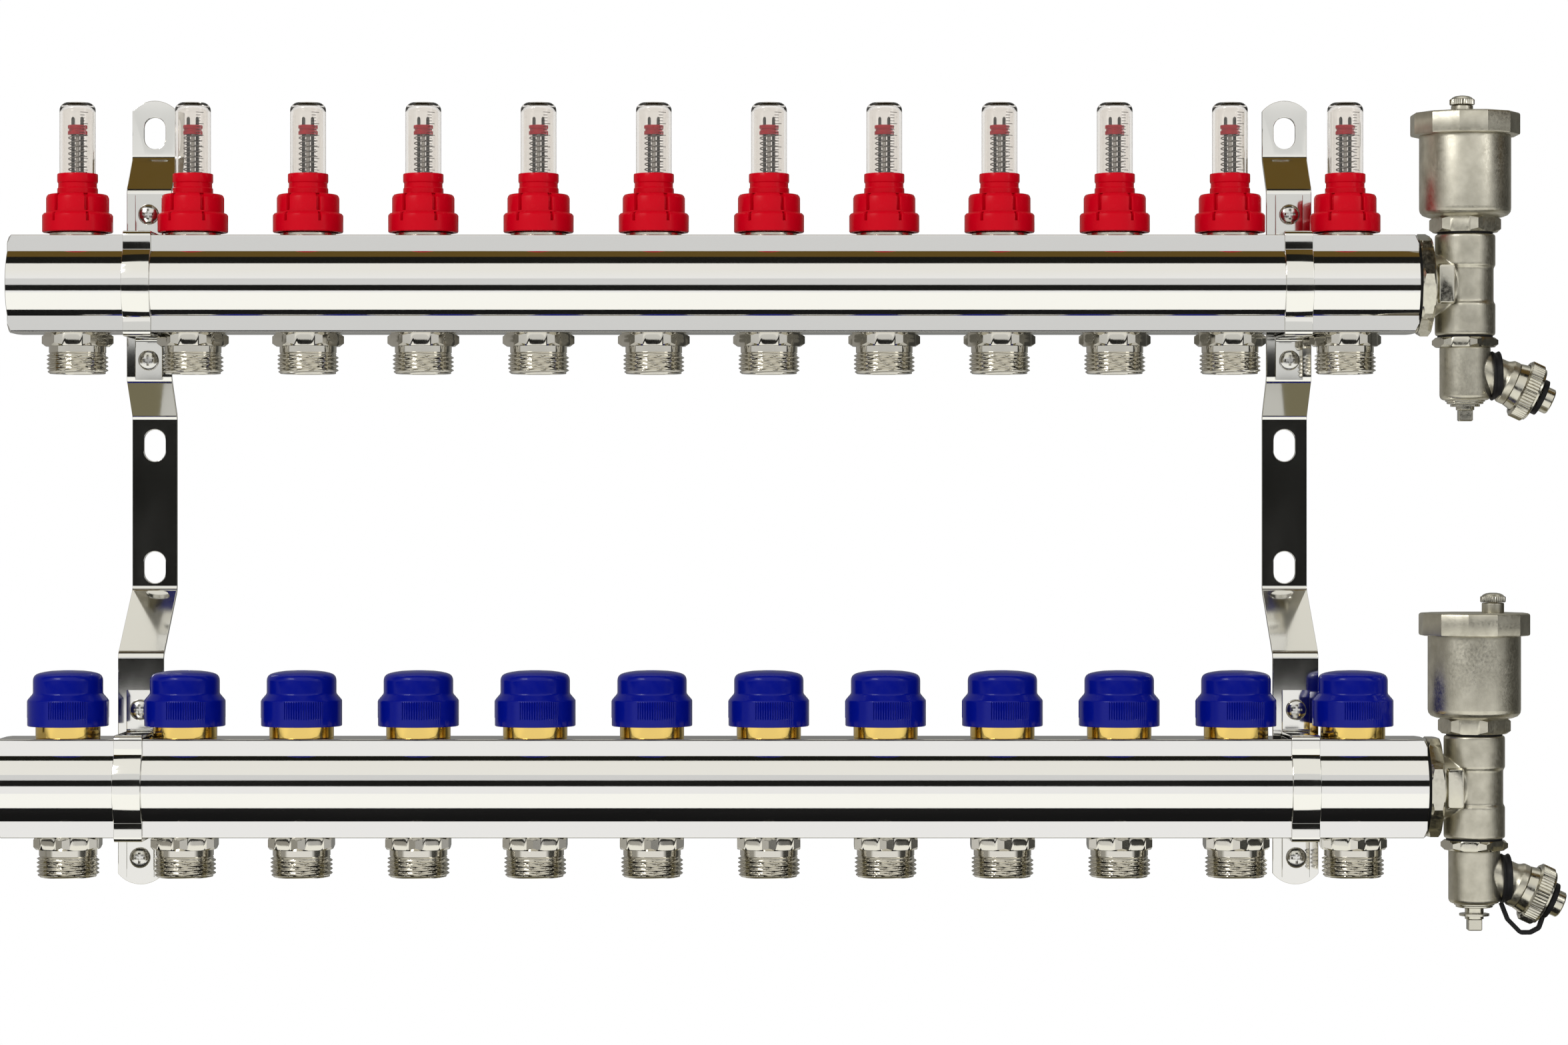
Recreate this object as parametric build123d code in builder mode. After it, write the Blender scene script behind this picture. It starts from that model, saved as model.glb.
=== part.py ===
from build123d import *
import os
from math import cos, radians, sin, tan

# Underfloor heating manifold on two wall brackets: a supply bar with flow meters above a
# return bar with shut-off caps. Millimetres. The origin is the middle of the left bracket's
# two wall slots, in the wall plane. +X runs along the bars, +Y into the wall, +Z up.

# Circuits and bars
circuits = 12
pitch = 50.0
first_circuit_x = -28.0
left_margin = 28.0
right_margin = 30.0
bar_r = 20.0
slab_depth = 28.6
slab_height = 42.0
cavity_r = 14.5
mouth_r = 15.15
mouth_length = 16.0
turned_end_r = 22.5
turned_slope = 60.0

# Brackets, clamps and screws
bracket_x = (0.0, 500.0)
strip_width = 19.8
strip_thickness = 2.0
strip_bend_r = 4.0
strip_end_r = 12.7
tab_top_z = 179.6
strip_bottom_z = -163.7
upper_step_y = -16.0
lower_step_y = -40.0
slot_width = 9.5
slot_length = 14.0
slot_z = (165.2, 27.0, -27.0)
bar_gap = 0.2
strap_thickness = 1.5
strap_width = 12.0
strap_foot_end = 40.5
screw_offset = 32.0
screw_r = 2.5
screw_head_r = 4.5
screw_head_height = 3.0

# Outlets below the bars
outlet_hex_af = 27.0
outlet_hex_height = 5.6
outlet_neck_r = 12.3
outlet_neck_length = 3.1
outlet_thread_r = 13.22
outlet_length = 17.5
outlet_bore_r = 7.5
outlet_cone_r = 9.2
shank_r = 9.0

# Flow meters above the supply bar
meter_flange_r = 12.0
meter_flange_height = 1.6
glass_r = 7.75
glass_wall = 1.2
glass_seat = 14.0
glass_top = 58.2
rail_top = 52.0
disc_r = 4.2
disc_low = 44.2
disc_high = 48.3
indicator_travel = 18.0
spring_r = 3.85
spring_wire_r = 0.28

# Shut-off valves above the return bar
collar_r = 13.75
collar_height = 6.0
cap_thread_r = 14.85

# End fittings at the right of each bar
tee_x = 574.0
seal_thickness = 0.8
octagon_af = 42.0
octagon_thickness = 5.5
tee_half = 22.0
tee_end_r = 13.0
tee_waist_r = 12.25
tee_waist_half = 7.5
tee_branch_r = 13.5
tee_bore_r = 8.0
vent_hex_af = 27.0
vent_hex_top = 29.5
vent_r = 19.75
vent_top = 64.7
vent_chamber_r = 16.5
vent_cap_r = 23.7
vent_cap_top = 74.4
bleed_offset = 8.0
bleed_stem_r = 4.75
bleed_stem_top = 78.7
drain_hex_af = 25.0
drain_hex_bottom = -27.0
drain_r = 11.0
drain_bottom = -50.0
drain_branch_z = -33.5
drain_branch_angle = 25.0
drain_neck_r = 8.3
drain_thread_r = 10.48
drain_cap_r = 13.0
drain_cap_start = 26.0
drain_cap_end = 32.4
drain_stub_r = 5.65
drain_stub_end = 41.0
stem_r = 4.0
stem_square = 6.1
stem_end = -61.5
closed_stem_lift = 2.5

# Worked out from the sizes above
bar_left = first_circuit_x - left_margin
bar_right = first_circuit_x + pitch * (circuits - 1) + right_margin
bar_length = bar_right - bar_left
circuit_x = [first_circuit_x + pitch * number for number in range(circuits)]
supply_front_y = upper_step_y - strip_thickness
return_front_y = lower_step_y - strip_thickness
supply_axis = (supply_front_y - bar_gap - bar_r, 96.0)
return_axis = (return_front_y - bar_gap - bar_r, -120.0)
bar_axes = (supply_axis, return_axis)
half_height = slab_height / 2
supply_top = supply_axis[1] + half_height
return_top = return_axis[1] + half_height
flange_start = bar_right + seal_thickness
flange_end = flange_start + octagon_thickness


def hexagon_r(across_flats):
    """Corner radius of a hexagon from its size across the flats."""
    return across_flats / 2 / cos(radians(30))


def write(piece, name):
    """Labels a finished piece with its node name and writes it."""
    piece.label = name
    export_step(piece, "parts/" + name + ".step")


def spread(shape, places):
    """One piece per place, all in one node."""
    with BuildPart() as group:
        with Locations(*places):
            add(shape)
    return group.part


def bar_plane(x, axis):
    """Cross-section plane of a bar: local x is +Y, local y is +Z."""
    return Plane(origin=(x, axis[0], axis[1]), x_dir=(0, 1, 0), z_dir=(1, 0, 0))


def make_bar(axis, port_r):
    """Round tube with a flat slab above and below, bored for its ports."""
    y, z = axis
    corner_r = slab_height
    turned_length = (corner_r - turned_end_r) / tan(radians(turned_slope))
    with BuildPart() as bar:
        with BuildSketch(bar_plane(bar_left, axis)):
            Circle(bar_r)
            Rectangle(slab_depth, slab_height)
        extrude(amount=bar_length)
        with BuildSketch(Plane(origin=(bar_left, y, z), x_dir=(1, 0, 0), z_dir=(0, 1, 0))):
            with BuildLine():
                Polyline(
                    (0, 0),
                    (0, turned_end_r),
                    (turned_length, corner_r),
                    (bar_length - turned_length, corner_r),
                    (bar_length, turned_end_r),
                    (bar_length, 0),
                    close=True,
                )
            make_face()
        revolve(axis=Axis((bar_left, y, z), (1, 0, 0)), mode=Mode.INTERSECT)
        with BuildSketch(bar_plane(bar_left, axis)):
            Circle(cavity_r)
        extrude(amount=bar_length, mode=Mode.SUBTRACT)
        with BuildSketch(bar_plane(bar_left, axis), bar_plane(bar_right - mouth_length, axis)):
            Circle(mouth_r)
        extrude(amount=mouth_length, mode=Mode.SUBTRACT)
        with BuildSketch(Plane.XY.offset(z)):
            with Locations(*[(x, y) for x in circuit_x]):
                Circle(port_r)
        extrude(amount=half_height, mode=Mode.SUBTRACT)
        with BuildSketch(Plane.XY.offset(z)):
            with Locations(*[(x, y) for x in circuit_x]):
                Circle(shank_r)
        extrude(amount=-half_height, mode=Mode.SUBTRACT)
    return bar.part


# Bars
meter_shank_r = 9.0
valve_shank_r = 10.0
write(make_bar(supply_axis, meter_shank_r), "supply_bar")
write(make_bar(return_axis, valve_shank_r), "return_bar")

# Wall bracket: one bent strip with an upper and a lower step, and three upright slots
with BuildPart() as bracket:
    with BuildSketch(Plane.YZ):
        with BuildLine():
            FilletPolyline(
                (-strip_thickness / 2, tab_top_z),
                (-strip_thickness / 2, 153.9),
                (upper_step_y - strip_thickness / 2, 138.7),
                (upper_step_y - strip_thickness / 2, 55.8),
                (-strip_thickness / 2, 39.8),
                (-strip_thickness / 2, -37.0),
                (lower_step_y - strip_thickness / 2, -64.4),
                (lower_step_y - strip_thickness / 2, strip_bottom_z),
                radius=strip_bend_r,
            )
        trace(line_width=strip_thickness)
    extrude(amount=strip_width / 2, both=True)
    arc_rise = strip_end_r - (strip_end_r**2 - (strip_width / 2) ** 2) ** 0.5
    with BuildSketch(Plane.XZ):
        with BuildLine():
            right_side = Line(
                (strip_width / 2, strip_bottom_z + arc_rise), (strip_width / 2, tab_top_z - arc_rise)
            )
            top_arc = ThreePointArc(right_side @ 1, (0, tab_top_z), (-strip_width / 2, tab_top_z - arc_rise))
            left_side = Line(top_arc @ 1, (-strip_width / 2, strip_bottom_z + arc_rise))
            ThreePointArc(left_side @ 1, (0, strip_bottom_z), right_side @ 0)
        make_face()
    extrude(amount=slab_height * 2, both=True, mode=Mode.INTERSECT)
    with BuildSketch(Plane.XZ):
        with Locations(*[(0, z) for z in slot_z]):
            SlotOverall(slot_length, slot_width, rotation=90)
    extrude(amount=slab_height * 2, both=True, mode=Mode.SUBTRACT)
    with BuildSketch(Plane.XZ):
        with Locations(*[(0, z + side * screw_offset) for _, z in bar_axes for side in (-1, 1)]):
            Circle(screw_r)
    extrude(amount=slab_height * 2, both=True, mode=Mode.SUBTRACT)
write(spread(bracket.part, [(x, 0, 0) for x in bracket_x]), "wall_brackets")

# Clamp strap: wraps the front of a bar, with a foot above and below on the bracket.
# It is drawn about the bar's axis; the bracket's front face is at +Y.
inner_reach = slab_depth / 2 + bar_gap
outer_reach = inner_reach + strap_thickness
inner_half = half_height + bar_gap
outer_half = inner_half + strap_thickness
bracket_reach = bar_r + bar_gap
with BuildPart() as strap:
    with BuildSketch(Plane.YZ) as strap_profile:
        Circle(bar_r + bar_gap + strap_thickness)
        with Locations(((bracket_reach - outer_reach) / 2, 0)):
            Rectangle(bracket_reach + outer_reach, 2 * outer_half)
        fillet(strap_profile.vertices().group_by(Axis.X)[0], strap_thickness + bar_gap)
        with Locations((bracket_reach - strap_thickness / 2, 0)):
            Rectangle(strap_thickness, 2 * strap_foot_end)
        Circle(bar_r + bar_gap, mode=Mode.SUBTRACT)
        with Locations(((bracket_reach - inner_reach) / 2, 0)):
            Rectangle(bracket_reach + inner_reach, 2 * inner_half, mode=Mode.SUBTRACT)
        with Locations((bracket_reach + slab_depth / 2, 0)):
            Rectangle(slab_depth, 4 * half_height, mode=Mode.SUBTRACT)
    extrude(amount=strap_width / 2, both=True)
    with BuildSketch(Plane.XZ):
        with Locations((0, screw_offset), (0, -screw_offset)):
            Circle(screw_r)
    extrude(amount=slab_height, both=True, mode=Mode.SUBTRACT)
clamp_places = [(x, y, z) for x in bracket_x for y, z in bar_axes]
write(spread(strap.part, clamp_places), "clamp_straps")

# Clamp screw: pan head with a cross recess, its shank through strap and bracket.
# It is drawn with the underside of its head at the origin and its shank along +Y.
recess_depth = 1.8
recess_length = 5.0
recess_width = 1.1
with BuildPart() as screw:
    with BuildSketch(Plane.XZ):
        Circle(screw_head_r)
    extrude(amount=screw_head_height)
    fillet(screw.edges().sort_by(Axis.Y)[0], 1.6)
    with BuildSketch(Plane.XZ):
        Circle(screw_r)
    extrude(amount=-(strap_thickness + strip_thickness + 3))
    with BuildSketch(Plane.XZ.offset(screw_head_height)):
        Rectangle(recess_length, recess_width)
        Rectangle(recess_width, recess_length)
    extrude(amount=-recess_depth, mode=Mode.SUBTRACT, taper=8)
screw_places = [
    (x, y + bracket_reach - strap_thickness, z + side * screw_offset)
    for x, y, z in clamp_places
    for side in (-1, 1)
]
write(spread(screw.part, screw_places), "clamp_screws")


def make_outlet(hexagon_turn):
    """Threaded outlet, drawn with the bar's underside at the origin and its mouth below."""
    with BuildPart() as outlet:
        with BuildSketch(Plane.XY):
            RegularPolygon(hexagon_r(outlet_hex_af), 6, rotation=hexagon_turn)
        extrude(amount=-outlet_hex_height)
        with BuildSketch(Plane.XY):
            Circle(outlet_neck_r)
        extrude(amount=-(outlet_hex_height + outlet_neck_length))
        with BuildSketch(Plane.XY.offset(-outlet_length)):
            Circle(outlet_thread_r)
        extrude(amount=outlet_length - outlet_hex_height - outlet_neck_length)
        with BuildSketch(Plane.XY):
            Circle(shank_r)
        extrude(amount=half_height - cavity_r)
        with BuildSketch(Plane.XZ):
            with BuildLine():
                Polyline(
                    (0, half_height),
                    (outlet_bore_r, half_height),
                    (outlet_bore_r, -8.0),
                    (outlet_cone_r, -outlet_length),
                    (0, -outlet_length),
                    close=True,
                )
            make_face()
        revolve(axis=Axis.Z, mode=Mode.SUBTRACT)
    return outlet.part


# The supply outlets have a hexagon flat to the front, the return outlets a corner.
with BuildPart() as circuit_outlets:
    with Locations(*[(x, supply_axis[0], supply_axis[1] - half_height) for x in circuit_x]):
        add(make_outlet(0))
    with Locations(*[(x, return_axis[0], return_axis[1] - half_height) for x in circuit_x]):
        add(make_outlet(30))
write(circuit_outlets.part, "circuit_outlets")

# Flow meter insert: screwed into the bar top, it seats the glass and guides the indicator.
# The meter is drawn with the bar's top face at the origin.
rod_r = 0.8
rod_guide_r = 1.5
rail_width = 1.3
rail_depth = 1.6
rail_offset = 1.95
insert_body_r = 10.5
with BuildPart() as meter_insert:
    with BuildSketch(Plane.XY):
        Circle(meter_flange_r)
    extrude(amount=meter_flange_height)
    with BuildSketch(Plane.XY):
        Circle(insert_body_r)
    extrude(amount=glass_seat)
    with BuildSketch(Plane.XY):
        Circle(meter_shank_r)
    extrude(amount=-(half_height - cavity_r))
    with BuildSketch(Plane.XY.offset(glass_seat)):
        with Locations((rail_offset, 0), (-rail_offset, 0)):
            Rectangle(rail_width, rail_depth)
    extrude(amount=rail_top - glass_seat)
    with BuildSketch(Plane.XY.offset(-half_height)):
        Circle(rod_guide_r)
    extrude(amount=half_height + glass_seat, mode=Mode.SUBTRACT)
meter_places = [(x, supply_axis[0], supply_top) for x in circuit_x]
write(spread(meter_insert.part, meter_places), "meter_inserts")

# Sight glass: a tube closed by a rounded top
with BuildPart() as sight_glass:
    with BuildSketch(Plane.XY.offset(glass_seat)):
        Circle(glass_r)
    extrude(amount=glass_top - glass_seat)
    fillet(sight_glass.edges().sort_by(Axis.Z)[-1], 3.4)
    with BuildSketch(Plane.XY.offset(glass_seat)):
        Circle(glass_r - glass_wall)
    extrude(amount=glass_top - 2.0 - glass_seat, mode=Mode.SUBTRACT)
write(spread(sight_glass.part, meter_places), "sight_glasses")

# Indicator spring: the thin sleeve that its coil fills, from the insert to the disc
with BuildPart() as spring:
    with BuildSketch(Plane.XY.offset(glass_seat)):
        Circle(spring_r + spring_wire_r)
        Circle(spring_r - spring_wire_r, mode=Mode.SUBTRACT)
    extrude(amount=disc_low - glass_seat)
write(spread(spring.part, meter_places), "meter_springs")

# Flow indicator: a red disc on a rod that carries the flow plate in the bar
plate_r = 6.0
plate_low = -12.0
plate_high = -10.0
with BuildPart() as indicator:
    with BuildSketch(Plane.XY.offset(disc_low)):
        Circle(disc_r)
        with Locations((rail_offset, 0), (-rail_offset, 0)):
            Rectangle(rail_width + 0.6, rail_depth + 0.6, mode=Mode.SUBTRACT)
    extrude(amount=disc_high - disc_low)
    with BuildSketch(Plane.XY.offset(plate_low)):
        Circle(rod_r)
    extrude(amount=disc_high - plate_low)
    with BuildSketch(Plane.XY.offset(plate_low)):
        Circle(plate_r)
    extrude(amount=plate_high - plate_low)

# Balancing cap: red, in two slotted tiers with a grooved collar round the glass
collar_bore_r = 8.05
slot_count = 6
slot_turn = -3.6
slot_breadth = 1.6
with BuildPart() as balancing_cap:
    with BuildSketch(Plane.XZ):
        with BuildLine():
            Polyline(
                (13.2, 1.8),
                (15.2, 1.8),
                (15.2, 9.2),
                (14.6, 10.0),
                (13.5, 10.0),
                (13.5, 17.4),
                (12.7, 18.2),
                (8.7, 18.2),
                (8.7, 21.0),
                (8.3, 21.4),
                (8.3, 23.1),
                (8.7, 23.5),
                (8.7, 27.3),
                (collar_bore_r, 27.3),
                (collar_bore_r, 16.4),
                (11.7, 16.4),
                (11.7, 8.2),
                (13.2, 8.2),
                close=True,
            )
        make_face()
    revolve(axis=Axis.Z)
    with BuildSketch(Plane.XY.offset(11.0)):
        with PolarLocations(13.5, slot_count, start_angle=slot_turn):
            Rectangle(5.0, slot_breadth)
    extrude(amount=5.0, mode=Mode.SUBTRACT)

for number, place in enumerate(meter_places, start=1):
    write(spread(indicator.part, [place]), f"flow_indicator_{number:02d}")
    write(spread(balancing_cap.part, [place]), f"balancing_cap_{number:02d}")

# Valve insert: brass bonnet with the cap's thread, a pin and the valve plate below
pin_r = 2.0
with BuildPart() as valve_insert:
    with BuildSketch(Plane.XY):
        Circle(collar_r)
    extrude(amount=collar_height)
    with BuildSketch(Plane.XY.offset(collar_height)):
        Circle(cap_thread_r)
    extrude(amount=8.0)
    with BuildSketch(Plane.XY.offset(collar_height + 8.0)):
        Circle(valve_shank_r)
    extrude(amount=3.0)
    with BuildSketch(Plane.XY):
        Circle(valve_shank_r)
    extrude(amount=-(half_height - cavity_r))
    with BuildSketch(Plane.XY.offset(-29.0)):
        Circle(pin_r)
    extrude(amount=29.0 + 21.0)
    with BuildSketch(Plane.XY.offset(-31.0)):
        Circle(8.0)
    extrude(amount=2.5)
valve_places = [(x, return_axis[0], return_top) for x in circuit_x]
write(spread(valve_insert.part, valve_places), "valve_inserts")

# Shut-off cap: blue, with a plain ring, a flare, a domed top and a small centre dimple
with BuildPart() as shutoff_cap:
    with BuildSketch(Plane.XZ):
        with BuildLine():
            outside = Polyline(
                (15.3, 5.0),
                (16.9, 5.0),
                (17.25, 5.4),
                (17.25, 16.0),
                (14.85, 18.9),
                (14.85, 25.6),
            )
            dome = ThreePointArc(outside @ 1, (14.2, 27.0), (12.6, 27.6))
            crown = ThreePointArc(dome @ 1, (7.5, 28.35), (3.0, 28.68))
            Polyline(
                crown @ 1,
                (3.0, 28.3),
                (0, 28.3),
                (0, 25.6),
                (12.8, 25.6),
                (12.8, 16.5),
                (15.3, 14.6),
                outside @ 0,
            )
        make_face()
    revolve(axis=Axis.Z)
for number, place in enumerate(valve_places, start=1):
    write(spread(shutoff_cap.part, [place]), f"shutoff_cap_{number:02d}")

# End adapters, one in the right end of each bar
adapter_stub_r = 11.0
adapter_stub_length = 6.0
adapter_bore_r = 8.0
upper_adapter_turn = 13.0


def end_adapter(turn):
    """Octagonal adapter: nipple in the bar, flange, and stub in the tee. Drawn along +X."""
    with BuildPart() as adapter:
        with BuildSketch(Plane.YZ.offset(bar_right - 13.0)):
            Circle(mouth_r)
        extrude(amount=13.0 + seal_thickness)
        with BuildSketch(Plane.YZ.offset(flange_start)):
            RegularPolygon(octagon_af / 2 / cos(radians(22.5)), 8, rotation=22.5 + turn)
        extrude(amount=octagon_thickness)
        with BuildSketch(Plane.YZ.offset(flange_end)):
            Circle(adapter_stub_r)
        extrude(amount=adapter_stub_length)
        with BuildSketch(Plane.YZ.offset(bar_right - 13.0)):
            Circle(adapter_bore_r)
        extrude(amount=60.0, mode=Mode.SUBTRACT)
    return adapter.part


with BuildPart() as end_adapters:
    with Locations((0, *supply_axis)):
        add(end_adapter(upper_adapter_turn))
    with Locations((0, *return_axis)):
        add(end_adapter(0))
write(end_adapters.part, "end_adapters")

# Tee: an upright barrel with a waist and a branch to the bar, drawn about its own centre
fitting_thread_r = 9.0
fitting_thread_length = 8.0
with BuildPart() as tee:
    with BuildSketch(Plane.XZ):
        with BuildLine():
            Polyline(
                (0, -tee_half),
                (tee_end_r - 0.6, -tee_half),
                (tee_end_r, -tee_half + 0.6),
                (tee_end_r, -tee_waist_half - 0.8),
                (tee_waist_r, -tee_waist_half),
                (tee_waist_r, tee_waist_half),
                (tee_end_r, tee_waist_half + 0.8),
                (tee_end_r, tee_half - 0.6),
                (tee_end_r - 0.6, tee_half),
                (0, tee_half),
                close=True,
            )
        make_face()
    revolve(axis=Axis.Z)
    with BuildSketch(Plane.YZ.offset(flange_end - tee_x)):
        Circle(tee_branch_r)
    extrude(amount=tee_x - flange_end)
    with BuildSketch(Plane.XZ.offset(tee_branch_r - 1.5)):
        with Locations((flange_end - tee_x + 5.5, 0)):
            RectangleRounded(6.7, 16.7, 1.2)
    extrude(amount=2.1)
    with BuildSketch(Plane.XY.offset(-tee_half)):
        Circle(tee_bore_r)
    extrude(amount=2 * tee_half, mode=Mode.SUBTRACT)
    with BuildSketch(Plane.XY.offset(-tee_half), Plane.XY.offset(tee_half - fitting_thread_length)):
        Circle(fitting_thread_r)
    extrude(amount=fitting_thread_length, mode=Mode.SUBTRACT)
    with BuildSketch(Plane.YZ.offset(flange_end - tee_x)):
        Circle(adapter_bore_r)
    extrude(amount=tee_x - flange_end, mode=Mode.SUBTRACT)
    with BuildSketch(Plane.YZ.offset(flange_end - tee_x)):
        Circle(adapter_stub_r)
    extrude(amount=adapter_stub_length, mode=Mode.SUBTRACT)
tee_places = [(tee_x, y, z) for y, z in bar_axes]
write(spread(tee.part, tee_places), "tees")

# Automatic air vent, drawn about the tee's centre
chamber_floor = 32.5
chamber_roof = 62.7
with BuildPart() as vent_body:
    with BuildSketch(Plane.XY.offset(tee_half - fitting_thread_length)):
        Circle(fitting_thread_r)
    extrude(amount=fitting_thread_length + seal_thickness)
    with BuildSketch(Plane.XY.offset(tee_half + seal_thickness)):
        RegularPolygon(hexagon_r(vent_hex_af), 6, rotation=12)
    extrude(amount=vent_hex_top - tee_half - seal_thickness)
    with BuildSketch(Plane.XZ):
        with BuildLine():
            floor_line = Line((0, vent_hex_top), (vent_r - 3, vent_hex_top))
            corner = ThreePointArc(
                floor_line @ 1,
                (vent_r - 3 + 3 * sin(radians(45)), vent_hex_top + 3 - 3 * cos(radians(45))),
                (vent_r, vent_hex_top + 3),
            )
            Polyline(corner @ 1, (vent_r, vent_top), (0, vent_top), (0, vent_hex_top))
        make_face()
    revolve(axis=Axis.Z)
    with BuildSketch(Plane.XY.offset(chamber_floor)):
        Circle(vent_chamber_r)
    extrude(amount=vent_top - chamber_floor, mode=Mode.SUBTRACT)
    with BuildSketch(Plane.XY):
        Circle(4.0)
    extrude(amount=chamber_floor, mode=Mode.SUBTRACT)
write(spread(vent_body.part, tee_places), "vent_bodies")

bleed_hole_r = 1.9
bleed_shank_r = 1.8


def make_vent_cap(bleed_place):
    """Twelve-sided vent cap with the bleed plug's stem off its centre."""
    with BuildPart() as vent_cap:
        with BuildSketch(Plane.XY.offset(vent_top)):
            RegularPolygon(vent_cap_r, 12, rotation=15)
        extrude(amount=vent_cap_top - vent_top)
        chamfer(vent_cap.edges().group_by(Axis.Z)[-1], 0.8)
        with BuildSketch(Plane.XY.offset(chamber_roof)):
            Circle(vent_chamber_r)
        extrude(amount=vent_top - chamber_roof)
        with BuildSketch(Plane.XY.offset(vent_cap_top)):
            with Locations(bleed_place):
                Circle(bleed_stem_r)
        extrude(amount=bleed_stem_top - vent_cap_top)
        with BuildSketch(Plane.XY.offset(chamber_roof)):
            with Locations(bleed_place):
                Circle(bleed_hole_r)
        extrude(amount=bleed_stem_top - chamber_roof, mode=Mode.SUBTRACT)
    return vent_cap.part


# The supply vent's bleed plug is behind its centre, the return vent's to the right.
bleed_places = ((0, bleed_offset), (bleed_offset, 0))
with BuildPart() as vent_caps:
    for tee_place, bleed_place in zip(tee_places, bleed_places):
        with Locations(tee_place):
            add(make_vent_cap(bleed_place))
write(vent_caps.part, "vent_caps")

# Bleed plug: knurled and domed, on a plain shank
plug_r = 5.45
plug_knurl_r = 0.3
plug_low = bleed_stem_top + 0.2
plug_high = plug_low + 2.5
with BuildPart() as bleed_plug:
    with BuildSketch(Plane.XY.offset(plug_low)):
        Circle(plug_r)
        with PolarLocations(plug_r, 36):
            RegularPolygon(plug_knurl_r, 4, mode=Mode.SUBTRACT)
    extrude(amount=plug_high - plug_low)
    with BuildSketch(Plane.XZ):
        with BuildLine():
            dome = ThreePointArc((plug_r - 0.4, plug_high), (3.4, plug_high + 1.2), (1, plug_high + 1.6))
            Polyline(dome @ 1, (0, plug_high + 1.6), (0, plug_high), dome @ 0)
        make_face()
    revolve(axis=Axis.Z)
    with BuildSketch(Plane.XY.offset(plug_low)):
        Circle(bleed_shank_r)
    extrude(amount=-8.0)

# Vent float: a light closed cylinder at rest just above the chamber's floor
float_r = 15.3
float_height = 16.5
with BuildPart() as vent_float:
    with BuildSketch(Plane.XY.offset(chamber_floor + 0.2)):
        Circle(float_r)
    extrude(amount=float_height)

sides = ("supply", "return")
for side, (x, y, z), (plug_x, plug_y) in zip(sides, tee_places, bleed_places):
    write(spread(bleed_plug.part, [(x + plug_x, y + plug_y, z)]), f"{side}_vent_plug")
    write(spread(vent_float.part, [(x, y, z)]), f"{side}_vent_float")

# Drain valve, drawn about the tee's centre, with its branch sloping down to the right
branch_direction = (cos(radians(drain_branch_angle)), 0, -sin(radians(drain_branch_angle)))
gland_r = 7.9
gland_height = 1.6
stem_bore_r = 4.08
drain_chamber_r = 7.0
drain_chamber_top = -29.0
drain_chamber_bottom = -45.0
drain_shoulder_start = 19.0
drain_shoulder_r = 9.8
drain_shoulder_length = 3.5


def branch_plane(distance):
    """Plane across the drain's branch, that far from the body's axis."""
    place = (branch_direction[0] * distance, 0, drain_branch_z + branch_direction[2] * distance)
    return Plane(origin=place, x_dir=(0, 1, 0), z_dir=branch_direction)


with BuildPart() as drain_body:
    with BuildSketch(Plane.XY.offset(-tee_half + fitting_thread_length)):
        Circle(fitting_thread_r)
    extrude(amount=-(fitting_thread_length + seal_thickness))
    with BuildSketch(Plane.XY.offset(-tee_half - seal_thickness)):
        RegularPolygon(hexagon_r(drain_hex_af), 6, rotation=12)
    extrude(amount=drain_hex_bottom + tee_half + seal_thickness)
    with BuildSketch(Plane.XY.offset(drain_hex_bottom)):
        Circle(drain_r)
    extrude(amount=drain_bottom - drain_hex_bottom)
    fillet(drain_body.edges().sort_by(Axis.Z)[0], 2.0)
    with BuildSketch(Plane.XY.offset(drain_bottom)):
        Circle(gland_r)
    extrude(amount=-gland_height)
    with BuildSketch(branch_plane(0)):
        Circle(drain_neck_r)
    extrude(amount=drain_shoulder_start)
    with BuildSketch(branch_plane(drain_shoulder_start)):
        Circle(drain_shoulder_r)
    extrude(amount=drain_shoulder_length)
    with BuildSketch(branch_plane(drain_shoulder_start + drain_shoulder_length)):
        Circle(drain_thread_r)
    extrude(amount=8.0)
    with BuildSketch(Plane.XY.offset(-tee_half + fitting_thread_length)):
        Circle(5.0)
    extrude(amount=drain_chamber_top + tee_half - fitting_thread_length, mode=Mode.SUBTRACT)
    with BuildSketch(Plane.XY.offset(drain_chamber_top)):
        Circle(drain_chamber_r)
    extrude(amount=drain_chamber_bottom - drain_chamber_top, mode=Mode.SUBTRACT)
    with BuildSketch(branch_plane(0)):
        Circle(5.0)
    extrude(amount=31.0, mode=Mode.SUBTRACT)
    with BuildSketch(Plane.XY.offset(drain_chamber_bottom)):
        Circle(stem_bore_r)
    extrude(amount=drain_bottom - gland_height - drain_chamber_bottom, mode=Mode.SUBTRACT)
write(spread(drain_body.part, tee_places), "drain_bodies")


def make_stem(lift):
    """Drain stem with its plug, retaining clip and square end, screwed in by the lift."""
    clip_top = drain_bottom - gland_height - 2.7 + lift
    with BuildPart() as stem:
        with BuildSketch(Plane.XY.offset(-41.5 + lift)):
            Circle(6.0)
        extrude(amount=-2.0)
        with BuildSketch(Plane.XY.offset(-43.0 + lift)):
            Circle(stem_r)
        extrude(amount=stem_end + 4.5 + 43.0)
        with BuildSketch(Plane.XY.offset(clip_top)):
            Circle(6.4)
            with Locations((0, 6.4)):
                Rectangle(4.0, 5.0, mode=Mode.SUBTRACT)
        extrude(amount=-0.9)
        with BuildSketch(Plane.XY.offset(stem_end + lift)):
            RectangleRounded(stem_square, stem_square, 0.8)
        extrude(amount=4.8)
    return stem.part


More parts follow.
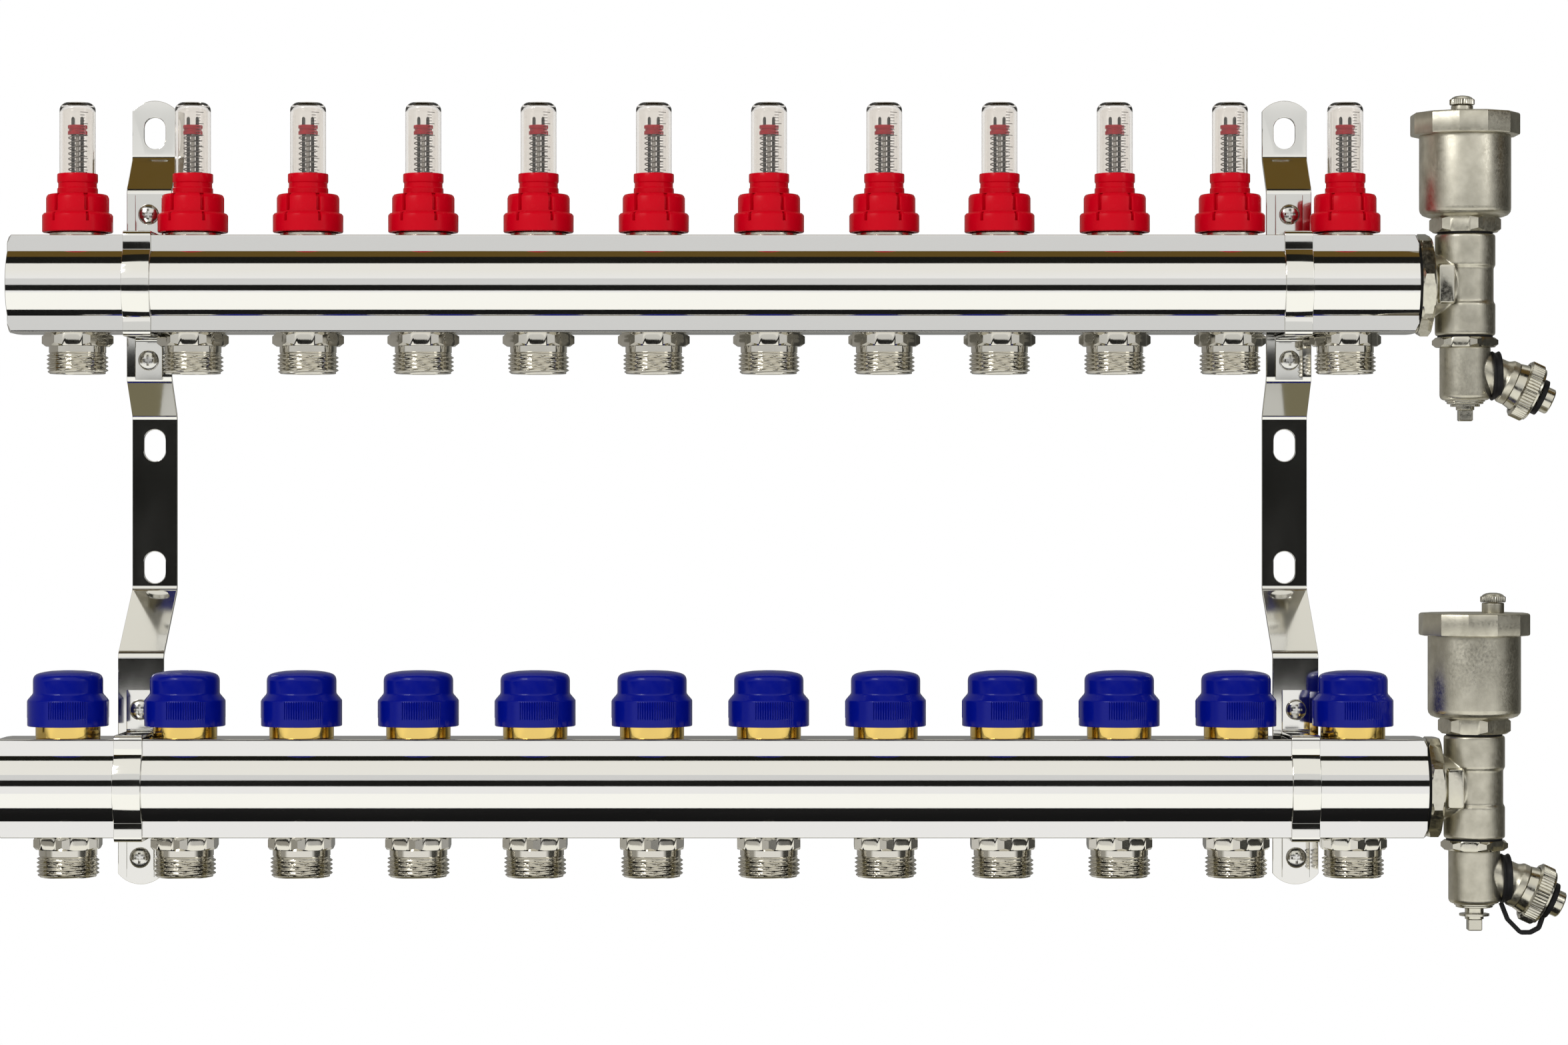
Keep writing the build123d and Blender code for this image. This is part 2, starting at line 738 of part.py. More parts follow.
# Drain cap: knurled ring over the branch's thread, with a closed face and a stub
knurls = 60
knurl_r = 0.4
with BuildPart() as drain_cap:
    with BuildSketch(branch_plane(drain_cap_start)):
        Circle(drain_cap_r)
        with PolarLocations(drain_cap_r, knurls):
            RegularPolygon(knurl_r, 4, mode=Mode.SUBTRACT)
    extrude(amount=drain_cap_end - drain_cap_start)
    with BuildSketch(branch_plane(drain_cap_end)):
        Circle(drain_cap_r - 1.0)
    extrude(amount=1.2)
    with BuildSketch(branch_plane(drain_cap_end + 1.2)):
        Circle(drain_stub_r)
    extrude(amount=drain_stub_end - drain_cap_end - 1.2)
    with BuildSketch(branch_plane(drain_cap_start)):
        Circle(drain_thread_r + 0.4)
    extrude(amount=5.2, mode=Mode.SUBTRACT)

for side, place, lift in zip(sides, tee_places, (closed_stem_lift, 0.0)):
    write(spread(make_stem(lift), [place]), f"{side}_drain_stem")
    write(spread(drain_cap.part, [place]), f"{side}_drain_cap")

# Rubber: flat seals at the bar ends and the tee's mouths, and the drain caps' tethers
tether_thickness = 1.8
tether_width = 3.4
ring_x = 11.1
ring_z = -39.4
ring_r = 10.8
ring_width = 3.9
loop_start = 34.7
loop_r = 8.0
loop_width = 2.2


def make_tether(strap_start, strap_normal):
    """Upright ring on the drain's neck, a strap, and a loop round the cap's stub."""
    strap_plane = Plane(origin=(0, 0, drain_branch_z), x_dir=branch_direction, z_dir=strap_normal)
    with BuildPart() as tether:
        with BuildSketch(Plane.YZ.offset(ring_x)):
            with Locations((0, ring_z)):
                Circle(ring_r)
        extrude(amount=ring_width)
        with BuildSketch(branch_plane(0)):
            Circle(drain_neck_r)
        extrude(amount=loop_start, mode=Mode.SUBTRACT)
        with BuildSketch(branch_plane(drain_shoulder_start)):
            Circle(drain_shoulder_r)
        extrude(amount=drain_shoulder_length, mode=Mode.SUBTRACT)
        with BuildSketch(branch_plane(loop_start)):
            Circle(loop_r)
            Circle(drain_stub_r + 0.3, mode=Mode.SUBTRACT)
        extrude(amount=loop_width)
        with BuildSketch(strap_plane):
            with BuildLine():
                FilletPolyline(
                    strap_start,
                    (22.7, 15.1),
                    (30.1, 17.9),
                    (33.9, 16.1),
                    (36.4, 12.8),
                    (35.8, 7.2),
                    radius=2.0,
                )
            trace(line_width=tether_thickness)
        extrude(amount=tether_width / 2, both=True)
    return tether.part


# One bar-end seal and two mouth seals, drawn about the tee's centre
with BuildPart() as bar_seal:
    with BuildSketch(Plane.YZ.offset(bar_right - tee_x)):
        Circle(mouth_r + 4.0)
        Circle(mouth_r, mode=Mode.SUBTRACT)
    extrude(amount=seal_thickness)
with BuildPart() as mouth_seals:
    with BuildSketch(Plane.XY.offset(-tee_half - seal_thickness), Plane.XY.offset(tee_half)):
        Circle(tee_waist_r - 0.3)
        Circle(fitting_thread_r, mode=Mode.SUBTRACT)
    extrude(amount=seal_thickness)

# The supply drain's strap runs behind its cap, the return drain's hangs below it.
with BuildPart() as rubber:
    with Locations(*tee_places):
        add(bar_seal.part)
        add(mouth_seals.part)
    with Locations(tee_places[0]):
        add(make_tether((14.3, 9.9), (-branch_direction[2], 0, branch_direction[0])))
    with Locations(tee_places[1]):
        add(make_tether((17.3, 10.0), (0, 1, 0)))
write(rubber.part, "rubber_seals_and_tethers")
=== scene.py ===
from math import acos, atan2, cos, degrees, pi, radians, sin, sqrt, tan

import bmesh
import bpy
from mathutils import Matrix, Vector


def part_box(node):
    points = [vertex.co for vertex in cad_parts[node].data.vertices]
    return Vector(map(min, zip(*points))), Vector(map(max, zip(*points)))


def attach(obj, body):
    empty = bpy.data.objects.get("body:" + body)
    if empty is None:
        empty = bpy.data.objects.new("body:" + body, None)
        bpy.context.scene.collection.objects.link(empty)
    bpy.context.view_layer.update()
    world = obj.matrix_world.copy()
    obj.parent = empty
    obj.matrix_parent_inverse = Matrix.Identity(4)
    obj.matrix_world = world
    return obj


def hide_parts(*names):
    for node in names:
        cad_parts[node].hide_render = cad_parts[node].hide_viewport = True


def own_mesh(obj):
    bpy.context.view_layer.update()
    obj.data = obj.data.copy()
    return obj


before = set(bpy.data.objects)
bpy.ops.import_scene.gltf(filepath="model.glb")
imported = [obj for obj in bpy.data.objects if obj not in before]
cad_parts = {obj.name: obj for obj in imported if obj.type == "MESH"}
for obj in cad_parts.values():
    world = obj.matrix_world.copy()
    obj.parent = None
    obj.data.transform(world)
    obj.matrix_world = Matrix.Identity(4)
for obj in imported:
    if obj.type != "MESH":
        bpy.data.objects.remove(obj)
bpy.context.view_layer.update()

# Lengths below are millimetres in the row frame; meshes are made in metres.
MM = 0.001
ROUND = 96
BODY = "manifold"


# ---------------------------------------------------------------- places, from the frame


def box_mm(node):
    """Lowest and highest corners of a CAD node, in millimetres."""
    low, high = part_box(node)
    return Vector(low) / MM, Vector(high) / MM


def middle_mm(node):
    low, high = box_mm(node)
    return (low + high) / 2


bar_low, bar_high = box_mm("supply_bar")
bar_left, bar_right = bar_low.x, bar_high.x
bar_r = (bar_high.y - bar_low.y) / 2
half_height = (bar_high.z - bar_low.z) / 2
supply = middle_mm("supply_bar")
back = middle_mm("return_bar")
circuits = sum(name.startswith("flow_indicator_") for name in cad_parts)
circuit_x = [middle_mm(f"flow_indicator_{n:02d}").x for n in range(1, circuits + 1)]
tee_x = middle_mm("supply_vent_float").x
tee_centres = {"supply": Vector((tee_x, supply.y, supply.z)), "return": Vector((tee_x, back.y, back.z))}
supply_top, return_top = supply.z + half_height, back.z + half_height


# ---------------------------------------------------------------- mesh helpers


def new_mesh(name, verts, faces, sharp=35):
    """Mesh from millimetre points, smooth except at edges sharper than the angle."""
    mesh = bpy.data.meshes.new(name)
    mesh.from_pydata([tuple(c * MM for c in v) for v in verts], [], faces)
    finish_mesh(mesh, sharp)
    return mesh


def finish_mesh(mesh, sharp=35):
    bm = bmesh.new()
    bm.from_mesh(mesh)
    bmesh.ops.remove_doubles(bm, verts=bm.verts, dist=1e-6)
    bmesh.ops.recalc_face_normals(bm, faces=bm.faces)
    bm.to_mesh(mesh)
    bm.free()
    mesh.polygons.foreach_set("use_smooth", [True] * len(mesh.polygons))
    mesh.set_sharp_from_angle(angle=radians(sharp))
    mesh.update()


def loft(rings, closed=False):
    """Quads between rings of equal length; open ends are closed by one flat face each."""
    count = len(rings[0])
    verts = [p for ring in rings for p in ring]
    faces = []
    spans = len(rings) if closed else len(rings) - 1
    for a in range(spans):
        b = (a + 1) % len(rings)
        for i in range(count):
            j = (i + 1) % count
            faces.append((a * count + i, a * count + j, b * count + j, b * count + i))
    if not closed:
        last = (len(rings) - 1) * count
        faces.append(tuple(reversed(range(count))))
        faces.append(tuple(range(last, last + count)))
    return verts, faces


def soften(points, radius, closed=False, steps=3):
    """Rounds the corners of an outline by up to the radius."""
    out = []
    count = len(points)
    for i, p in enumerate(points):
        if not closed and i in (0, count - 1):
            out.append(p)
            continue
        before, after = Vector(points[i - 1]), Vector(points[(i + 1) % count])
        here = Vector(p)
        to_before, to_after = before - here, after - here
        cut = min(radius, to_before.length * 0.45, to_after.length * 0.45)
        if cut < 1e-4:
            out.append(p)
            continue
        a = here + to_before.normalized() * cut
        b = here + to_after.normalized() * cut
        for k in range(steps + 1):
            t = k / steps
            out.append(tuple(a * (1 - t) ** 2 + here * 2 * t * (1 - t) + b * t * t))
    return out


def turned(profile, count=ROUND, shape=None, closed=False):
    """Turned solid about Z. shape(r, z, angle) may change a radius or a height."""
    rings = []
    for r, z in profile:
        ring = []
        for i in range(count):
            angle = 2 * pi * i / count
            rr, zz = shape(r, z, angle) if shape else (r, z)
            ring.append((rr * cos(angle), rr * sin(angle), zz))
        rings.append(ring)
    return loft(rings, closed)


def flat_r(angle, sides, across_flats):
    """Distance from the centre to the side of a regular polygon, a flat facing +X."""
    step = 2 * pi / sides
    offset = (angle + step / 2) % step - step / 2
    return across_flats / 2 / cos(offset)


def polygon_prism(sides, across_flats, low, high, bevel=0.35, crown=1.03, rise=0.55, inner=0.0):
    """Nut-like prism whose corners are cut back by a cone at both ends."""
    rings = []
    crown_r = across_flats / 2 * crown

    def ring(z, cap, sign):
        out = []
        for i in range(ROUND):
            angle = 2 * pi * i / ROUND
            r = flat_r(angle, sides, across_flats)
            if cap:
                r = min(r, crown_r) - bevel * 0.3
                zz = z
            else:
                zz = z + sign * (max(0.0, r - crown_r) * rise + bevel)
            out.append((r * cos(angle), r * sin(angle), zz))
        return out

    rings = [ring(low, True, 1), ring(low, False, 1), ring(high, False, -1), ring(high, True, -1)]
    if inner:
        for z in (high, low):
            rings.append(
                [(inner * cos(2 * pi * i / ROUND), inner * sin(2 * pi * i / ROUND), z) for i in range(ROUND)]
            )
        return loft(rings, closed=True)
    return loft(rings)


def block(low, high):
    """Plain box."""
    (x0, y0, z0), (x1, y1, z1) = low, high
    ring = [(x0, y0), (x1, y0), (x1, y1), (x0, y1)]
    return loft([[(x, y, z0) for x, y in ring], [(x, y, z1) for x, y in ring]])


def moved(solid, matrix):
    verts, faces = solid
    return [tuple(matrix @ Vector(v)) for v in verts], faces


def joined(*solids):
    verts, faces = [], []
    for solid_verts, solid_faces in solids:
        start = len(verts)
        verts += solid_verts
        faces += [tuple(i + start for i in f) for f in solid_faces]
    return verts, faces


def turn(degrees_about, axis):
    return Matrix.Rotation(radians(degrees_about), 4, axis)


def shift(x, y, z):
    return Matrix.Translation((x, y, z))


def put(name, mesh, material, where=(0, 0, 0), body=BODY, nodes=()):
    """Places a piece, in millimetres, on its CAD body."""
    obj = bpy.data.objects.new(name, mesh)
    bpy.context.scene.collection.objects.link(obj)
    obj.location = Vector(where) * MM
    if not mesh.materials:
        mesh.materials.append(material)
    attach(obj, body)
    if nodes:
        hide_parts(*nodes)
    return obj


def cast(name, solids, voxel, smoothing):
    """One cast body: overlapping solids melted together with soft inner corners."""
    verts, faces = joined(*solids)
    mesh = new_mesh(name, verts, faces)
    obj = bpy.data.objects.new(name, mesh)
    bpy.context.scene.collection.objects.link(obj)
    melt = obj.modifiers.new("melt", "REMESH")
    melt.mode = "VOXEL"
    melt.voxel_size = voxel * MM
    ease = obj.modifiers.new("ease", "SMOOTH")
    ease.factor = 0.5
    ease.iterations = smoothing
    result = bpy.data.meshes.new_from_object(obj.evaluated_get(bpy.context.evaluated_depsgraph_get()))
    bpy.data.objects.remove(obj)
    finish_mesh(result, 60)
    return result


# ---------------------------------------------------------------- materials


def material(name, color, metallic, roughness, **sockets):
    mat = bpy.data.materials.new(name)
    mat.use_nodes = True
    shader = mat.node_tree.nodes["Principled BSDF"]
    shader.inputs["Base Color"].default_value = (*color, 1)
    shader.inputs["Metallic"].default_value = metallic
    shader.inputs["Roughness"].default_value = roughness
    for socket, value in sockets.items():
        shader.inputs[socket.replace("_", " ")].default_value = value
    return mat


def noise(mat, scale, detail=4.0, stretch=(1, 1, 1)):
    """Noise over the object's own coordinates, scale in waves per metre."""
    tree = mat.node_tree
    place = tree.nodes.new("ShaderNodeTexCoord")
    mapping = tree.nodes.new("ShaderNodeMapping")
    mapping.inputs["Scale"].default_value = stretch
    tree.links.new(place.outputs["Object"], mapping.inputs["Vector"])
    texture = tree.nodes.new("ShaderNodeTexNoise")
    texture.inputs["Scale"].default_value = scale
    texture.inputs["Detail"].default_value = detail
    tree.links.new(mapping.outputs["Vector"], texture.inputs["Vector"])
    return texture.outputs["Fac"]


def vary_roughness(mat, source, low, high):
    tree = mat.node_tree
    spread = tree.nodes.new("ShaderNodeMapRange")
    spread.inputs["From Min"].default_value = 0.3
    spread.inputs["From Max"].default_value = 0.7
    spread.inputs["To Min"].default_value = low
    spread.inputs["To Max"].default_value = high
    tree.links.new(source, spread.inputs["Value"])
    tree.links.new(spread.outputs["Result"], tree.nodes["Principled BSDF"].inputs["Roughness"])


def vary_color(mat, source, dark, light):
    tree = mat.node_tree
    ramp = tree.nodes.new("ShaderNodeValToRGB")
    ramp.color_ramp.elements[0].position = 0.3
    ramp.color_ramp.elements[1].position = 0.7
    ramp.color_ramp.elements[0].color = (*dark, 1)
    ramp.color_ramp.elements[1].color = (*light, 1)
    tree.links.new(source, ramp.inputs["Fac"])
    tree.links.new(ramp.outputs["Color"], tree.nodes["Principled BSDF"].inputs["Base Color"])


def bump(mat, source, strength, distance_mm):
    """Adds a bump on top of any bump already there."""
    tree = mat.node_tree
    node = tree.nodes.new("ShaderNodeBump")
    node.inputs["Strength"].default_value = strength
    node.inputs["Distance"].default_value = distance_mm * MM
    tree.links.new(source, node.inputs["Height"])
    normal = tree.nodes["Principled BSDF"].inputs["Normal"]
    if normal.links:
        tree.links.new(normal.links[0].from_socket, node.inputs["Normal"])
    tree.links.new(node.outputs["Normal"], normal)


def bright_plate(name, color, low, high, draw=(1, 1, 1), waviness=0.02):
    """Bright plated metal with faint wipe marks and a nearly flat, slightly wavy face."""
    mat = material(name, color, 1.0, low)
    vary_roughness(mat, noise(mat, 60.0, 6.0, draw), low, high)
    bump(mat, noise(mat, 35.0, 2.0, draw), waviness, 0.2)
    bump(mat, noise(mat, 2500.0, 2.0, draw), 0.03, 0.01)
    return mat


bar_nickel = bright_plate("bar_nickel", (0.80, 0.79, 0.765), 0.035, 0.075, (0.15, 1, 1), 0.015)
bracket_chrome = bright_plate("bracket_chrome", (0.80, 0.79, 0.75), 0.05, 0.10, (1, 1, 0.4), 0.05)
screw_plate = bright_plate("screw_plate", (0.70, 0.69, 0.66), 0.12, 0.22)
outlet_nickel = bright_plate("outlet_nickel", (0.68, 0.655, 0.59), 0.07, 0.14)
brass = bright_plate("polished_brass", (0.80, 0.57, 0.17), 0.08, 0.16)

satin_nickel = material("satin_nickel", (0.56, 0.53, 0.44), 1.0, 0.3)
vary_roughness(satin_nickel, noise(satin_nickel, 900.0, 5.0), 0.28, 0.42)
vary_color(satin_nickel, noise(satin_nickel, 160.0, 6.0), (0.47, 0.445, 0.365), (0.65, 0.62, 0.52))
bump(satin_nickel, noise(satin_nickel, 1900.0, 4.0), 0.26, 0.05)
bump(satin_nickel, noise(satin_nickel, 420.0, 3.0), 0.06, 0.08)

machined_nickel = material("machined_nickel", (0.60, 0.575, 0.49), 1.0, 0.18)
vary_roughness(machined_nickel, noise(machined_nickel, 700.0, 4.0), 0.12, 0.26)
bump(machined_nickel, noise(machined_nickel, 1600.0, 3.0), 0.12, 0.03)

red_plastic = material("red_plastic", (0.56, 0.0006, 0.010), 0.0, 0.22, Specular_IOR_Level=0.08)
vary_roughness(red_plastic, noise(red_plastic, 300.0), 0.16, 0.30)
bump(red_plastic, noise(red_plastic, 900.0, 3.0), 0.05, 0.03)
blue_plastic = material("blue_plastic", (0.0006, 0.005, 0.225), 0.0, 0.16, Specular_IOR_Level=0.2)
vary_roughness(blue_plastic, noise(blue_plastic, 260.0), 0.12, 0.24)
bump(blue_plastic, noise(blue_plastic, 120.0, 3.0), 0.04, 0.06)
indicator_red = material("indicator_red", (0.50, 0.003, 0.012), 0.0, 0.3, Specular_IOR_Level=0.1)
vary_color(indicator_red, noise(indicator_red, 400.0), (0.42, 0.002, 0.01), (0.56, 0.004, 0.015))
clear_tube = material("clear_tube", (0.85, 0.82, 0.78), 0.0, 0.03, Transmission_Weight=1.0, IOR=1.46)
vary_roughness(clear_tube, noise(clear_tube, 200.0), 0.02, 0.07)
ink = material("scale_ink", (0.05, 0.045, 0.04), 0.0, 0.6)
rail_dark = material("rail_dark", (0.045, 0.042, 0.035), 0.0, 0.45)
spring_wire = material("spring_wire", (0.20, 0.19, 0.17), 1.0, 0.35)
black_rubber = material("black_rubber", (0.010, 0.010, 0.011), 0.0, 0.45, Specular_IOR_Level=0.15)
vary_roughness(black_rubber, noise(black_rubber, 500.0), 0.36, 0.55)
bump(black_rubber, noise(black_rubber, 1200.0, 3.0), 0.15, 0.04)
pale_rod = material("pale_rod", (0.62, 0.60, 0.56), 0.0, 0.4)
float_plastic = material("float_plastic", (0.8, 0.8, 0.78), 0.0, 0.5)


# ---------------------------------------------------------------- bars

slab_half = 14.3
slab_edge_r = 0.45
turned_r = 22.5
turned_slope = tan(radians(60))
mouth_minor_r = 15.15
mouth_major_r = 16.4
mouth_pitch = 2.309
mouth_length = 16.0
cavity_r = 14.5


def bar_reach(angle):
    """Distance from a bar's axis to its outside, the angle taken from +Y."""
    c, s = max(abs(cos(angle)), 1e-9), max(abs(sin(angle)), 1e-9)
    slab = min(slab_half / c, half_height / s)
    cx, cy = slab_half - slab_edge_r, half_height - slab_edge_r
    b = cx * c + cy * s
    under = b * b - (cx * cx + cy * cy - slab_edge_r**2)
    if under > 0:
        corner = b + sqrt(under)
        if corner * c > cx and corner * s > cy:
            slab = min(slab, corner)
    return max(bar_r, slab)


def bar_angles():
    """Angles round a bar, close together only where its outline turns."""
    quarter = [radians(2.0 * i) for i in range(22)]
    quarter.append(acos(slab_half / bar_r))
    corner = atan2(half_height, slab_half)
    quarter += [corner - radians(d) for d in (8, 5, 2.5, 1.2, 0.6, 0.3)]
    quarter.append(corner)
    quarter += [corner + radians(d) for d in (0.3, 0.6, 1.2, 2.5, 5, 9, 14, 20, 27)]
    quarter = sorted(a for a in quarter if a < pi / 2 - 0.01)
    upper = quarter + [pi / 2] + [pi - a for a in reversed(quarter) if a > 0] + [pi]
    return upper + [2 * pi - a for a in reversed(upper) if 0 < a < pi]


def thread_wave(turns):
    """Rounded saw-tooth of a 55 degree thread, from 0 at the root to 1 at the crest."""
    wave = abs(2 * (turns % 1.0) - 1)
    return min(1.0, max(0.0, (wave - 0.12) / 0.76))


def make_bar(centre):
    angles = bar_angles()
    reach = [bar_reach(a) for a in angles]

    def ring(x, radius):
        radii = radius if isinstance(radius, list) else [radius] * len(angles)
        xs = x if isinstance(x, list) else [x] * len(angles)
        return [
            (px, centre.y + r * cos(a), centre.z + r * sin(a)) for px, r, a in zip(xs, radii, angles)
        ]

    def mouth(end, inward):
        rings = []
        steps = int(mouth_length / (mouth_pitch / 8))
        for k in range(steps, 0, -1):
            depth = mouth_length * k / steps
            fade = min(1.0, (mouth_length - depth) / 2)
            radii = []
            for a in angles:
                wave = thread_wave(depth / mouth_pitch + a / (2 * pi))
                radii.append(mouth_major_r - (mouth_major_r - mouth_minor_r) * wave * fade)
            rings.append(ring(end + inward * depth, radii))
        rings.append(ring(end + inward * 0.7, mouth_major_r))
        rings.append(ring(end, mouth_major_r + 0.7))
        return rings

    set_back = [max(0.0, (r - turned_r) / turned_slope) + 0.25 for r in reach]
    face_r = [min(r - 0.25, turned_r) for r in reach]
    rings = [ring(bar_left + mouth_length + 0.01, cavity_r)]
    rings += mouth(bar_left, 1)
    rings += [ring(bar_left, face_r), ring([bar_left + s for s in set_back], reach)]
    for k in range(1, 40):
        rings.append(ring(bar_left + (bar_right - bar_left) * k / 40, reach))
    rings += [ring([bar_right - s for s in set_back], reach), ring(bar_right, face_r)]
    rings += list(reversed(mouth(bar_right, -1)))
    rings.append(ring(bar_right - mouth_length - 0.01, cavity_r))
    return loft(rings, closed=True)


for name, centre in (("supply_bar", supply), ("return_bar", back)):
    verts, faces = make_bar(centre)
    put(name + "_plated", new_mesh(name, verts, faces, 20), bar_nickel, nodes=[name])


# ---------------------------------------------------------------- bent strips


def rounded_path(points, radius, steps=8):
    """Path with each inner corner replaced by a true arc."""
    out = [Vector(points[0])]
    for i in range(1, len(points) - 1):
        here = Vector(points[i])
        a, b = Vector(points[i - 1]) - here, Vector(points[i + 1]) - here
        bend = radius[i] if isinstance(radius, (list, tuple)) else radius
        if bend <= 0:
            out.append(here)
            continue
        half = a.angle(b) / 2
        cut = bend / tan(half)
        centre = here + (a.normalized() + b.normalized()).normalized() * (bend / sin(half))
        start, end = here + a.normalized() * cut, here + b.normalized() * cut
        sweep = (start - centre).angle_signed(end - centre)
        for k in range(steps + 1):
            spoke = start - centre
            angle = -sweep * k / steps
            out.append(centre + Vector((
                spoke.x * cos(angle) - spoke.y * sin(angle),
                spoke.x * sin(angle) + spoke.y * cos(angle),
            )))
    out.append(Vector(points[-1]))
    return out


def path_frames(points):
    """Cumulative lengths and unit normals at the points of a path."""
    lengths = [0.0]
    for a, b in zip(points, points[1:]):
        lengths.append(lengths[-1] + (b - a).length)
    normals = []
    for i in range(len(points)):
        before = points[i] - points[max(i - 1, 0)]
        after = points[min(i + 1, len(points) - 1)] - points[i]
        along = (before.normalized() if before.length else Vector((0, 0))) + (
            after.normalized() if after.length else Vector((0, 0))
        )
        along.normalize()
        normals.append(Vector((-along.y, along.x)))
    return lengths, normals


def held(points, hold=0.4):
    """Adds a point just inside both ends of each long straight, so that it stays flat."""
    out = [points[0]]
    for a, b in zip(points, points[1:]):
        step = b - a
        if step.length > 6 * hold:
            inset = step.normalized() * hold
            out += [a + inset, b - inset]
        out.append(b)
    return out


def strip_along(points, width, thickness, edge=0.3):
    """Bar of rounded rectangular section swept along a path in the YZ plane."""
    points = held(points)
    _, normals = path_frames(points)
    half_w, half_t = width / 2, thickness / 2
    section = soften(
        [(-half_w, -half_t), (half_w, -half_t), (half_w, half_t), (-half_w, half_t)], edge, closed=True
    )
    rings = []
    for p, n in zip(points, normals):
        rings.append([(u, p.x + n.x * t, p.y + n.y * t) for u, t in section])
    return loft(rings)


strip_thickness = 2.0
bracket_low, bracket_high = box_mm("wall_brackets")
strip_half = -bracket_low.x
right_bracket_x = bracket_high.x - strip_half
tab_top = bracket_high.z
strip_bottom = bracket_low.z
lower_plane = bracket_low.y + strip_thickness / 2
upper_plane = -17.0
wall_plane = -strip_thickness / 2
slot_places = (165.2, 27.0, -27.0)
slot_width, slot_length = 9.5, 14.0
tab_arc_r = 12.7
bracket_path = rounded_path(
    [
        (wall_plane, tab_top),
        (wall_plane, 153.9),
        (upper_plane, 138.7),
        (upper_plane, 55.8),
        (wall_plane, 39.8),
        (wall_plane, -37.0),
        (lower_plane, -64.4),
        (lower_plane, strip_bottom),
    ],
    4.0,
)


def bracket_mesh():
    """Flat strip with its slots, drawn as a filled outline, cut across and bent."""
    lengths, normals = path_frames(bracket_path)
    total = lengths[-1]

    def length_at(z):
        for k in range(len(bracket_path) - 1):
            a, b = bracket_path[k], bracket_path[k + 1]
            if b.y <= z <= a.y:
                return lengths[k] + (a.y - z) / (a.y - b.y) * (lengths[k + 1] - lengths[k])
        return total

    spread = atan2(strip_half, sqrt(tab_arc_r**2 - strip_half**2))

    def end_arc(v, sign):
        points = []
        for k in range(17):
            angle = -spread + 2 * spread * k / 16
            points.append((sin(angle) * tab_arc_r * sign, v + sign * tab_arc_r * (1 - cos(angle))))
        return points

    outlines = [end_arc(0.0, 1) + end_arc(total, -1)]
    for z in slot_places:
        v = length_at(z)
        r = slot_width / 2
        straight = slot_length / 2 - r
        slot = []
        for side in (1, -1):
            for k in range(17):
                angle = pi * k / 16
                slot.append((side * cos(angle) * r, v + side * (straight + sin(angle) * r)))
        outlines.append(slot)
    curve = bpy.data.curves.new("bracket", "CURVE")
    curve.dimensions = "2D"
    curve.fill_mode = "BOTH"
    edge = 0.25
    curve.offset = -edge * MM
    curve.extrude = (strip_thickness / 2 - edge) * MM
    curve.bevel_depth = edge * MM
    curve.bevel_resolution = 2
    for outline in outlines:
        spline = curve.splines.new("POLY")
        spline.points.add(len(outline) - 1)
        for point, (u, v) in zip(spline.points, outline):
            point.co = (u * MM, v * MM, 0, 1)
        spline.use_cyclic_u = True
    obj = bpy.data.objects.new("bracket", curve)
    bpy.context.scene.collection.objects.link(obj)
    mesh = bpy.data.meshes.new_from_object(obj.evaluated_get(bpy.context.evaluated_depsgraph_get()))
    bpy.data.objects.remove(obj)
    bm = bmesh.new()
    bm.from_mesh(mesh)
    bmesh.ops.remove_doubles(bm, verts=bm.verts, dist=1e-6)
    for length in lengths[1:-1]:
        bmesh.ops.bisect_plane(
            bm,
            geom=bm.verts[:] + bm.edges[:] + bm.faces[:],
            plane_co=(0, length * MM, 0),
            plane_no=(0, 1, 0),
            dist=1e-7,
        )
    for vert in bm.verts:
        u, v, w = vert.co / MM
        k = 0
        while k < len(lengths) - 2 and v > lengths[k + 1] + 1e-4:
            k += 1
        t = (v - lengths[k]) / (lengths[k + 1] - lengths[k])
        t = min(1.0, max(0.0, t))
        p = bracket_path[k].lerp(bracket_path[k + 1], t)
        n = normals[k].lerp(normals[k + 1], t)
        if abs(lengths[k + 1] - lengths[k]) > 3:
            straight = (bracket_path[k + 1] - bracket_path[k]).normalized()
            n = Vector((-straight.y, straight.x)) if 0.02 < t < 0.98 else n
        vert.co = (u * MM, (p.x + n.x * w) * MM, (p.y + n.y * w) * MM)
    bm.to_mesh(mesh)
    bm.free()
    finish_mesh(mesh, 12)
    return mesh


bracket = bracket_mesh()
for side, x in (("left", 0.0), ("right", right_bracket_x)):
    put(
        f"{side}_wall_bracket", bracket, bracket_chrome, (x, 0, 0),
        nodes=["wall_brackets"],
    )

# Clamp straps follow the front of a bar about its axis, with feet on the bracket
strap_thickness = 1.5
strap_width = 12.0
strap_gap = 0.2
strap_mid = strap_gap + strap_thickness / 2
foot_end = 40.5
foot_y = bar_r + strap_gap - strap_thickness / 2
strap_front = -(slab_half + strap_mid)
strap_side = half_height + strap_mid
strap_arc_r = bar_r + strap_mid
arc_start = acos(-strap_front / strap_arc_r)
upper_half = [(foot_y, foot_end), (foot_y, strap_side), (strap_front, strap_side)]
strap_points = upper_half[:]
strap_bends = [0, 1.6, 1.4]
for k in range(25):
    angle = arc_start - 2 * arc_start * k / 24
    strap_points.append((-strap_arc_r * cos(angle), strap_arc_r * sin(angle)))
    strap_bends.append(0)
strap_points += [(y, -z) for y, z in reversed(upper_half)]
strap_bends += [1.4, 1.6, 0]
strap_path = rounded_path(strap_points, strap_bends, 6)
verts, faces = strip_along(strap_path, strap_width, strap_thickness)
strap = new_mesh("clamp_strap", verts, faces, 40)


